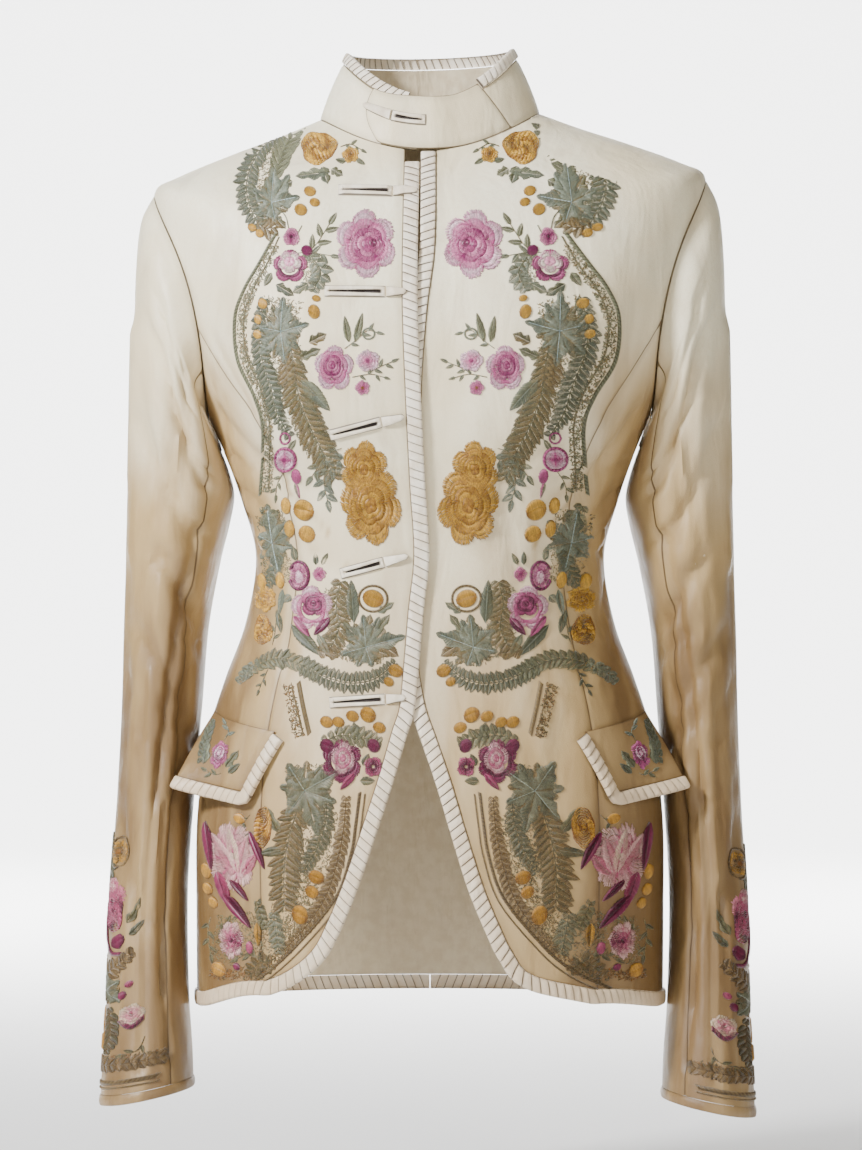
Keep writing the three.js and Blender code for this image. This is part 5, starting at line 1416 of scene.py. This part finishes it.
# %% Berries, and the flowers and leaves above the waist
BERRIES = [  # u, z, radius, tall
    (74, -54, 4.2, 0.9), (70.6, -62, 3.6, 0.9), (80, -67, 4.4, 1.0), (116, -79, 3.6, 0.8),
    (110, -83, 3.4, 0.9), (69, -128, 3.0, 0.8), (70.5, -137, 4.2, 1.2), (107, -131, 3.9, 1.0),
    (110.6, -141.5, 3.0, 1.2), (111, -151.5, 3.4, 1.0), (90.5, -266, 3.6, 1.6), (78.2, -269, 7.2, 1.0),
    (88, -281.5, 3.6, 1.7), (76, -285, 5.8, 1.0), (110, -317, 4.0, 1.5), (95, -316, 3.4, 1.8),
    (31.3, -328.4, 7.2, 0.85), (16, -376.6, 5.0, 0.9), (20.7, -384, 3.4, 1.0), (62.3, -411, 4.6, 0.9),
    (54.4, -411, 4.2, 0.9), (45, -407, 4.4, 0.9), (34.6, -406, 5.4, 1.0), (27, -414.5, 4.4, 0.9),
    (126, -477, 4.4, 0.9), (69, -514.6, 5.4, 0.9), (72, -524.5, 4.6, 1.0), (80, -540, 5.6, 1.2),
    (150, -514, 3.8, 1.5), (149, -526, 3.6, 1.2), (145, -535, 3.4, 1.2), (141, -580, 5.2, 1.0),
]
CHEST_FLOWERS = """
rose 69,-22 12 gold amber
blossom 47,-28 6.2 5 gold amber ochre
sprig 54,-22>47,-20>40,-24 5 4 sage moss
leaf 50,-33 57,-31 4 sage moss
leaf 43,-31 37,-35 3.5 sage moss
full_rose 36,-91 21 blush mauve 1.14 0.4 1,0.5,6>
full_rose 34,-92 16 pink plum 1.1 0.9 1,0.45,5>0.66,0,4 1.1
full_rose 31,-91 6.5 mauve wine 1.1 0.3 1,0,4> 1.7
full_rose 87,-106 12.5 mauve wine 0.92 0.3 1,0.5,5>
full_rose 87,-103 8.6 cream pink 0.9 0.9 1,0,5> 1.1
berry 75.5,-95.5 4 plum wine
blossom 86,-86 6.2 3 pink plum wine 1.1 1.6
line 88,-80>90,-72>95,-66 0.9 sage moss
line 79,-78>82,-84 0.9 sage moss
full_rose 57,-175 13.4 blush mauve 1.15 0.3 1,0.5,5>
full_rose 58,-173 9.5 pink plum 1.2 0.8 1,0.4,4>0.55,0,3 1.1
blossom 34.5,-170 8.6 5 blush pink mauve 0.9
blossom 38,-188 5.2 5 pink mauve amber
blossom 90.7,-235 7.6 4 blush mauve plum 1 0.8
ring 90.7,-235 7.4 0.2 6.4 14 1 2 plum mauve 1.4
berry 83,-246.5 3.4 mauve plum 1.5
ring 90.5,-221 3.6 0 6.2 9 1 1.3 mauve plum
full_rose 37,-242 16 gold amber 1.2 0.6
full_rose 32.5,-266 21 gold amber 1.3 0.2 height=1
rose 31,-265 7 gold amber 1.2 2 5 0.5 0.5
"""
CHEST_LEAVES = """
bed 92,-14>106,-24>112,-42>110,-62>102,-76 20
bed 92,-128>96,-150>92,-172 30
bed 88,-172>80,-200>66,-230 20
bed 76,-100>72,-118 12
leaf 60,-40 84,-43 10 sage slate 3
leaf 60,-38 52,-43 8 sage moss 2
leaf 66,-36 62,-49 9 slate moss 2
leaf 86,-46 96,-52 8 sage moss 2
star 101,-62 96,27,10>70,24,9>120,22,9>145,19,9>172,20,9>203,16,9>38,17,8>8,14,8>250,15,9>285,16,9
>318,15,9 mist slate
garland 99,-44>96,-32>92,-20>88,-11 24 sage moss 5 40 0.7,0.9
garland 95,-10>107,-17>117,-31>121.5,-47>119,-62>112,-76 17 slate moss 4.2 70 0.6,0.8
garland 112,-76>104,-80>98,-77 15 khaki bark 4.4 60
leaf 98,-72 90,-80 8 khaki moss 2
sprig 80,-100>70,-92>61,-78 10 5 sage moss width=0.42
sprig 84,-97>72,-97>60,-99 8 6 sage slate
garland 72,-100>66,-110>70,-121 15 mist moss 5.2 60
leaf 74,-118 85,-124 8 slate sage 2
leaf 97,-118 84,-126 8 slate moss 2
leaf 100,-110 106,-119 6 sage moss
star 93,-150 90,24,9>65,23,8>112,21,8>138,19,8>165,22,8>195,19,8>222,17,8>40,20,8>15,15,8>-15,16,8
>-42,20,9>-68,24,9>-95,24,9>250,20,8 mist slate
garland 106,-128>110,-146>108,-166>101,-186>96,-204>88,-218 16 slate moss 4.4 62 0.6,0.5
garland 86,-160>83,-178>80,-196>73,-214>64,-232>58,-246 24 khaki moss 4.6 52 0.6,0.7
garland 90,-168>88,-184 15 khaki bark 4.6 55
leaf 79,-182 60,-203 10 slate sage 0 vein=mist
leaf 78,-196 68,-207 7 moss slate
leaf 74,-158 62,-152 9 khaki moss 2
leaf 80,-168 66,-162 8 sage moss 2
leaf 47,-158 50,-140 5 sage moss
leaf 43,-158 38,-138 5 sage moss
sprig 50,-162>42,-156>35,-150>29,-151 6 5 sage mist
ring 34,-152 4 0 6 9 0.9 1.3 sage mist
sprig 34,-178>26,-174>19,-171 6 4.4 sage slate
sprig 45,-181>33,-179>24,-181 5 5 sage slate
sprig 92,-243>97,-251>98,-258 6 4 sage moss
leaf 84,-250 81,-261 3.4 sage mauve
leaf 88,-229 83,-222 4 sage moss
sprig 48,-232>58,-240>64,-250>62,-262 9 3.4 mist slate width=0.5
sprig 52,-228>62,-232>72,-246 8 4 sage slate width=0.5
cord 97,-83>110,-103>122,-121>129,-140>127,-168>114,-193>108,-212>109,-236>111,-258 2.6 sage moss
cord 95,-86>104,-104>116,-123>122,-141>120,-165>108,-190>102,-212>103,-236>104,-256 1.1 moss cord
speckle 98,-91>107,-107>117,-124>123.5,-142>121.5,-166>109.5,-190>103,-212>104,-236
>105,-256 7.5 khaki/sage/moss/sage/cord 0.8
"""
print(len(BERRIES), "berries")

# %% Flowers and leaves from the waist down
LOWER_FLOWERS = """
blossom 107.5,-329 9.8 6 gold amber - 0.95 0.3
rose 107.5,-329 6.5 gold ochre
rose 108.5,-350 7.4 gold amber 1.4 3 4
blossom 81.4,-313 6.8 5 pink plum - 1.4
berry 81,-314 3 blush pink 1.7
ring 81.4,-313 6.6 0.5 5.9 14 1.4 2.2 plum wine 1.5
blossom 67.6,-312 4.8 4 pink mauve plum 1.1
full_rose 72.5,-335 14.5 blush mauve 1.05 0.2 1,0.5,5>
full_rose 71,-332 9.4 mauve wine 0.95 0.7 1,0.4,4>0.55,0,3 1.1
leaf 60,-341 71,-353 6 plum wine 0 1.4
leaf 85,-340 74,-354 6 mauve plum 0 1.4
ring 31.3,-328.4 9.6 0 6.2 16 0.9 1.6 khaki bark
full_rose 52,-437 14 plum wine 1.05 0.5 1,0.5,6>
full_rose 51,-435 8.4 blush mauve 1.3 0.2 1,0.4,4>0.55,0,3 1.1
leaf 43,-445 53,-456 5 mauve plum 0 1.4
berry 30.7,-426.5 4.4 plum wine 1.1
blossom 31,-440.5 6.6 4 mauve wine - 1.1 0.6
berry 62,-427 5 plum wine 1
rose 107.5,-482 7.6 gold amber 1.8 2 4
blossom 131,-503 19 7 blush mauve - 1.25 0.3 rings=4 core=0.15
leaf 128,-514 146,-488 9 blush pink 0 1.3
leaf 127,-514 134,-484 9 cream blush 0 1.4
leaf 126,-514 120,-489 9 blush pink 0 1.4
leaf 124,-515 112,-500 8 pink mauve 0 1.3
leaf 151,-480 146,-513 7 plum wine 0 1.7
leaf 118,-485 106,-510 6.5 plum wine 0 1.7
leaf 142,-513 134,-536 9 plum mauve 0 1.7
leaf 138,-528 117,-550 8 plum wine 0 1.7
leaf 133,-518 119,-532 5 wine plum 0 1.7
blossom 132,-559 9.6 7 blush mauve - 1.4 0.2 rings=3
rose 129,-560 5.2 plum wine 1.5 2 3
berry 118,-563.5 2.8 mauve plum 1.6
berry 128,-577 2.6 plum wine 1
"""
LOWER_LEAVES = """
bed 104,-270>100,-292>99,-318 24
bed 54,-322>56,-345>44,-362>24,-362 20
bed 78,-440>76,-470>84,-510>90,-555 26
bed 60,-470>66,-504>80,-536>94,-562 12
bed 110,-540>112,-570 22
bed 132,-545>138,-575 20
star 101,-291 80,24,9>105,26,9>130,20,9>50,18,8>20,13,8>-10,12,8>-40,15,8>-75,18,9>-105,19,9
>-135,18,8>195,17,8>160,17,8 mist slate
garland 108,-266>103,-276 16 sage moss 4.6 60
garland 96,-296>99,-308>104,-318 13 slate moss 4.6 55
leaf 93,-322 96,-340 5 mist slate
leaf 97,-338 94,-352 5 slate moss
sprig 101,-360>99,-352>98,-342 6 5 sage moss
leaf 66,-306 62,-298 4 sage moss
leaf 70,-306 70,-297 4 slate moss
leaf 84,-303 86,-293 5 sage slate
leaf 87,-326 92,-331 6 mist slate
garland 53,-317>56,-332>54,-348>60,-362 17 khaki moss 4.8 60 0.8,0.8
leaf 87,-346 66,-367 9 slate moss 0 vein=mist
leaf 69,-352 60,-368 6 sage slate
leaf 70,-362 52,-366 13 khaki bark 2
leaf 44,-345 46,-316 9 slate moss 0 vein=mist
leaf 36,-350 33,-339 8 khaki moss 2
leaf 28,-338 17,-331 6 slate sage 2
leaf 30,-352 20,-339 7 sage moss 2
star 36,-361 90,22,8>68,20,8>115,20,8>140,22,9>165,24,9>195,20,8>45,20,8>18,20,8>-12,18,8>-40,18,8
>-70,14,8>225,18,8>255,14,8 mist slate
leaf 28,-358 14,-367 10 khaki bark 2
garland 120,-379>108,-372>95,-369>82,-372>70,-378 14 sage moss 4.2 55 0.5,1
garland 78,-374>63,-381>46,-385>30,-382>17,-372 13 slate moss 3.4 82 1,0.6
garland 112,-372>121,-378>127,-384 10 mist slate 4.4 50
sprig 104,-376>108,-384>111,-390 5 4 slate moss
speckle 88.7,-386>85,-403>80.8,-421.5 7.5 khaki/bark/moss/ochre 0.75
cord 86,-388>82,-404>78,-420 1.2 khaki cord
cord 81.4,-385>78,-402>74,-419 3.4 khaki cord
leaf 42,-424 44,-411 9 slate moss 2
garland 64,-424>54,-420>40,-421>28,-424 14 sage moss 4.6 62
leaf 38,-440 34,-432 5 moss slate
leaf 40,-450 30,-450 6 sage slate
star 77,-457 150,24,10>175,22,9>120,20,9>90,22,9>60,22,11>35,20,11>8,18,10>-20,18,9>-55,24,9
>-80,28,10>-105,28,10>-130,22,9>205,20,9 mist slate
garland 82,-470>88,-490>91,-510>91,-534 25 khaki moss 4.8 58 0.8,0.7
garland 62,-462>63,-478>68,-494>77,-510 13 slate moss 4.2 66 0.6,0.6
leaf 93,-497 110,-500 7 slate moss 0 vein=mist
leaf 94,-486 106,-468 8 sage moss 2
garland 99,-540>97,-552>95,-564 14 mist slate 5 60
leaf 112,-546 111,-562 6 gold bark 0 1.1
garland 112,-532>106,-548 10 sage moss 4.8 55
sprig 110,-572>120,-568>127,-571 7 5 sage moss
garland 100,-578>108,-572>118,-580 14 khaki moss 5 60
sprig 147,-545>149,-556>147,-570 7 5 moss sage
sprig 140,-543>138,-549>131,-545 6 4.5 sage moss
sprig 118,-474>124,-482>120,-490 5 4 slate moss
cord 40,-458>42.5,-478>46,-500>56,-528>82,-560>102,-578>124,-591 2.2 cord bark
cord 36.5,-459>39,-479>42.5,-501>53,-531>79,-563>99,-581>121,-594 1.1 cord khaki
garland 49,-461>51,-484>56,-508>64,-530>77,-549>90,-563 11 khaki bark 4.4 60
speckle 88,-562>104,-576>122,-587 8 khaki/moss/ochre/bark 0.6
speckle 122,-580>134,-583>148,-583 7 khaki/amber/ochre/bark 0.75
"""
print("layout of the fronts ready")

# %% [markdown]
# ## Laying the stitches on the leather
# A stitch is a bar like a hipped roof: four corners in the leather and a ridge of two points over
# them, shaded smooth so that it looks round. The flat draft is carried to a panel by a table of
# points and normals every 2 mm, read with a weighted mean of its four nearest places.


# %% From rows to bars
def panel_reader(place, u_range, z_range, step=2.0):
    """A reader of points and normals at u and z: bilinear between places on a regular table."""
    u, z = np.arange(*u_range, step), np.arange(*z_range, step)
    table = np.concatenate(place(*np.meshgrid(u, z, indexing="ij")), axis=-1)

    def read(at):
        fu, fz = (at[:, 0] - u[0]) / step, (at[:, 1] - z[0]) / step
        i = np.clip(np.floor(fu).astype(int), 0, len(u) - 2)
        j = np.clip(np.floor(fz).astype(int), 0, len(z) - 2)
        a, b = (fu - i)[:, None], (fz - j)[:, None]
        mean = ((table[i, j] * (1 - a) + table[i + 1, j] * a) * (1 - b)
                + (table[i, j + 1] * (1 - a) + table[i + 1, j + 1] * a) * b)
        return mean[:, :3], unit(mean[:, 3:])

    return read


BAR = np.array([[0, 4, 5], [0, 5, 3], [1, 2, 5], [1, 5, 4], [0, 1, 4], [2, 3, 5], [0, 3, 2], [0, 2, 1]])
RIDGE_END, ROOT_DEPTH, ROOT_SHADE = 0.16, 0.2, 0.55
# Heights and amounts of the painted shade that darkens and browns the threads down the skirt.
SHADE_HEIGHTS, THREAD_SHADE = (-240, -520), np.array([0.2, 0.3, 0.45])
SHOULDER_HEIGHT = -100


def sew(name, rows, read, lift=0.0):
    """One piece from rows of stitches: base corners at plus and minus half the width across, a little under
    the surface, and ridge points near both ends, raised by the height. The base corners carry painted shade,
    and the threads get painted shade, darker and browner down the skirt. A stitch that the surface stretches,
    or that comes over the shoulder, is left out."""
    rows = np.concatenate(rows)
    (start, normal_a), (end, normal_b) = read(rows[:, 0:2]), read(rows[:, 2:4])
    planned, laid = (np.linalg.norm(b - a, axis=1) for a, b in ((rows[:, 0:2], rows[:, 2:4]), (start, end)))
    # Painted shade: threads darker and browner down the skirt.
    rows[:, 6:9] *= 1 - smooth(*SHADE_HEIGHTS, rows[:, 1])[:, None] * THREAD_SHADE
    flat = (laid < 2.2 * planned + 0.8) & ((normal_a[:, 1] < 0) | (rows[:, 1] < SHOULDER_HEIGHT))
    rows, start, end, normal_a, normal_b = (v[flat] for v in (rows, start, end, normal_a, normal_b))
    across = unit(np.cross(normal_a + normal_b, end - start)) * rows[:, 4:5] / 2
    low_a, low_b = start + normal_a * (lift - ROOT_DEPTH), end + normal_b * (lift - ROOT_DEPTH)
    up = rows[:, 5:6] + lift
    ridge_a = start * (1 - RIDGE_END) + end * RIDGE_END + normal_a * up
    ridge_b = start * RIDGE_END + end * (1 - RIDGE_END) + normal_b * up
    points = np.stack([low_a - across, low_a + across, low_b + across, low_b - across, ridge_a, ridge_b],
                      axis=1)
    faces = (np.arange(len(rows))[:, None, None] * 6 + BAR[None]).reshape(-1, 3)
    dye = np.repeat(rows[:, None, 6:9], 6, axis=1)
    dye[:, :4] *= ROOT_SHADE
    piece = make_mesh(name, points.reshape(-1, 3), faces, [THREAD], colours=dye.reshape(-1, 3), sharp=0)
    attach(piece, "root")
    print(f"{name}: {len(rows)} stitches, {len(faces)} triangles")
    return len(rows)


# %% The fronts
MIDDLE_X, FLOWER_LIFT, WAIST_HEIGHT = -6.9, 0.12, -300


def front_place(side):
    """The place of u and z: x is the middle line of the fronts plus u to this side, and up to 5 mm
    more to the wearer's left near the side seam."""
    def place(u, z):
        x = side * u + MIDDLE_X + 5 * smooth(85, 135, u)
        return on_front(side, x, z)
    return place


stitches = 0
for tag, side in SIDES:
    read = panel_reader(front_place(side), (8, 158), (-600, 2))
    stitches += sew(f"chest_embroidery_{tag}", read_motifs(CHEST_FLOWERS) + berries(WAIST_HEIGHT, 0),
                    read, FLOWER_LIFT)
    stitches += sew(f"chest_leaf_embroidery_{tag}", read_motifs(CHEST_LEAVES), read)
    stitches += sew(f"skirt_embroidery_{tag}", read_motifs(LOWER_FLOWERS) + berries(-700, WAIST_HEIGHT),
                    read, FLOWER_LIFT)
    stitches += sew(f"skirt_leaf_embroidery_{tag}", read_motifs(LOWER_LEAVES), read)
print("stitches on the fronts", stitches)

# %% [markdown]
# The flaps have one plum blossom between leaves. The cuffs are worked on the outer half of the upper
# sleeve, from below the elbow to the hem: a ringed berry, a long plum rose, leaves and gold buds,
# and two bands, with plain leather between them.


# %% The pocket flaps
def flap_place(side):
    """The flap's own grid, 48 mm along by 45 mm down: u is along and z is minus down."""
    def place(u, z):
        along, down = u / 48, -z / 45
        return flap_point(side, along, down), flap_normal(side, along, down)
    return place


FLAP_MOTIFS = """
blossom 25,-26 6.4 6 mauve wine - 1.5 0.2
rose 25,-25 3.4 blush pink 1.5 2 3
leaf 18,-33 13,-20 7 sage moss 2
leaf 15,-36 9,-28 5 moss slate
leaf 33,-34 38,-19 8 sage slate 2
garland 36,-34>39,-22>41,-8 10 slate moss 4.4 45
sprig 20,-37>24,-39>30,-38 5 4 sage moss
sprig 25,-16>24,-9>28,-5 6 4 mist slate
"""
for tag, side in SIDES:
    read = panel_reader(flap_place(side), (0, 50), (-46, 2), 1.0)
    stitches += sew(f"flap_embroidery_{tag}", read_motifs(FLAP_MOTIFS), read, 0.1)


# %% The cuffs
CUFF_HEIGHT, CUFF_HALF = -683, 50


def cuff_place(side):
    """Places on the outer front of a sleeve: u runs round the arm from its outer line to the front
    seam, in millimetres at the cuff, and z less the cuff's height is the height over the hem. The
    station comes from Newton's steps, as for the fronts."""
    def place(u, z):
        k = AROUND + FRONT_SEAM * np.clip(u, -60, 46) / CUFF_HALF
        goal = z - CUFF_HEIGHT + sleeve_point(side, k, np.full(k.shape, SLEEVE_END - 0.01))[..., 2]
        t = np.interp(-z, -np.array(SLEEVE["outer_z"], float), np.arange(14.0)) + 0 * u
        step = 0.02
        for _ in range(5):
            here, on = sleeve_point(side, k, t)[..., 2], sleeve_point(side, k, t + step)[..., 2]
            t = np.clip(t + np.clip((goal - here) / ((on - here) / step), -0.5, 0.5), 5, 12.9)
        return sleeve_point(side, k, t), sleeve_normal(side, k, t)
    return place


CUFF_MOTIFS = """
blossom 16,-512 6.5 6 gold bark amber 1.3
ring 16,-512 7.6 0 6.2 14 1.35 1.5 khaki bark
garland 4,-500>8,-520>5,-540 13 slate moss 4.8 55
blossom 14,-546 10.5 5 pink mauve - 1.6 0.3
rose 15,-552 9 mauve wine 1.6 3 4.5
rose 13,-535 5 blush mauve 1.2
berry 20,-573 5.2 plum wine
cord 4,-556>7,-570>14,-580>22,-582 2.8 plum wine 1.5
leaf 26,-562 34,-546 7 sage moss 2
leaf 27,-570 37,-562 6 slate moss
garland -16,-560>-8,-584>4,-596>18,-590>28,-583 15 khaki bark 4.6 60
star 10,-606 90,13,7>60,13,7>120,13,7>150,14,7>30,14,7>0,14,7>180,14,7>215,14,7>-35,14,7
>270,12,7 mist slate
berry 24,-610 3 plum wine
berry 28,-603 2.4 mauve plum
blossom 30,-624 8.6 5 cream pink - 0.9
cord 23,-627>30,-632>37,-627 3.4 plum wine 1.6
rose 31,-622 3.6 blush mauve
blossom -2,-626 5.6 4 gold amber - 1.7
blossom -10,-640 5.2 4 gold amber - 1.5
berry 6,-640 4 gold amber 1.6
garland 14,-618>16,-632>14,-646 13 moss bark 4.8 55
garland -24,-600>-20,-624>-22,-648 12 sage moss 5 55
sprig 38,-640>34,-648>26,-650 6 5 sage moss
sprig -4,-652>4,-655>12,-652 5 4.5 khaki moss
garland -40,-656>-12,-656>16,-656>44,-656 10 khaki bark 4.4 60 1,1
speckle -40,-651.5>0,-651.5>44,-651.5 3 khaki/moss/ochre 0.7
cord -40,-668>0,-668>44,-668 3 cord bark
cord -40,-671.5>0,-671.5>44,-671.5 1.2 khaki cord
"""
for tag, side in SIDES:
    read = panel_reader(cuff_place(side), (-46, 47), (-690, -484))
    stitches += sew(f"cuff_embroidery_{tag}", read_motifs(CUFF_MOTIFS), read, 0.1)
print("stitches in all", stitches)

# %% [markdown]
# ## Studio, camera and the end of the script
# The jacket hangs filled out, as worn, so it is seen straight on from waist height through a long
# lens. The floor and backdrop are one pale sweep with two lights of its own. A small cool key from
# the upper left draws out the creases, a warm fill softens them, and a weak light hangs above.

# %% Floor and lights
FLOOR, BEND_START, BEND_RADIUS = -0.76, 4.3, 1.5
bend = np.linspace(0, np.pi / 2, 12)[1:]
sweep_x = np.linspace(-2.5, 2.5, 5)
sweep_y = np.concatenate([np.linspace(-5, BEND_START, 12), BEND_START + BEND_RADIUS * np.sin(bend),
                          [BEND_START + BEND_RADIUS] * 2])
sweep_z = np.concatenate([np.full(12, FLOOR), FLOOR + BEND_RADIUS * (1 - np.cos(bend)), [3.0, 5.0]])
sweep = np.stack(np.broadcast_arrays(sweep_x[None, :], sweep_y[:, None], sweep_z[:, None]), axis=-1)
backdrop_paint, tree, shader = new_material("pale_backdrop", 0.9, specular=0.1)
shader.inputs["Base Color"].default_value = (0.9, 0.9, 0.895, 1)
backdrop = make_mesh("backdrop", sweep.reshape(-1, 3) / MM, grid_faces(len(sweep_y), len(sweep_x)),
                     [backdrop_paint], sharp=0)


def soft_light(name, place, aim, size, watts, colour):
    """A square area light at a place, turned to face its aim."""
    lamp = bpy.data.lights.new(name, "AREA")
    lamp.shape, lamp.size, lamp.energy, lamp.color = "SQUARE", size, watts, colour
    holder = bpy.data.objects.new(name, lamp)
    bpy.context.scene.collection.objects.link(holder)
    holder.location = place
    way = Vector(aim) - Vector(place)
    holder.rotation_euler = way.to_track_quat("-Z", "Y").to_euler()


soft_light("key", (-1.5, -1.35, 0.85), (0, 0, -0.25), 0.35, 108, (0.98, 0.985, 1.0))
soft_light("fill", (0.9, -2.4, 0.3), (0, 0, -0.35), 0.7, 26, (1.0, 0.93, 0.8))
soft_light("top", (0.1, 0.0, 1.9), (0, 0, -0.2), 1.0, 9, (1.0, 1.0, 1.0))
soft_light("left_wash", (-1.8, 2.7, 0.9), (0, 4.5, -0.6), 1.4, 350, (1.0, 1.0, 1.0))
soft_light("right_wash", (1.8, 2.7, 0.9), (0, 4.5, -0.6), 1.4, 350, (1.0, 1.0, 1.0))
world = bpy.data.worlds.new("soft_room")
world.use_nodes = True
room = world.node_tree.nodes["Background"]
room.inputs["Color"].default_value = (0.92, 0.93, 0.95, 1)
room.inputs["Strength"].default_value = 0.16
bpy.context.scene.world = world

# %% Camera and finish
PICTURE_HEIGHT, DISTANCE, SENSOR = 0.7935, 3.2, 36
EYE_X, EYE_Z = 0.0007, -0.3126
lens = bpy.data.cameras.new("front_view")
lens.sensor_fit, lens.sensor_height, lens.sensor_width = "VERTICAL", SENSOR, SENSOR
lens.lens = SENSOR * DISTANCE / PICTURE_HEIGHT
camera = bpy.data.objects.new("front_view", lens)
bpy.context.scene.collection.objects.link(camera)
camera.location = (EYE_X, -DISTANCE, EYE_Z)
camera.rotation_euler = (math.radians(90), 0, 0)
bpy.context.scene.camera = camera
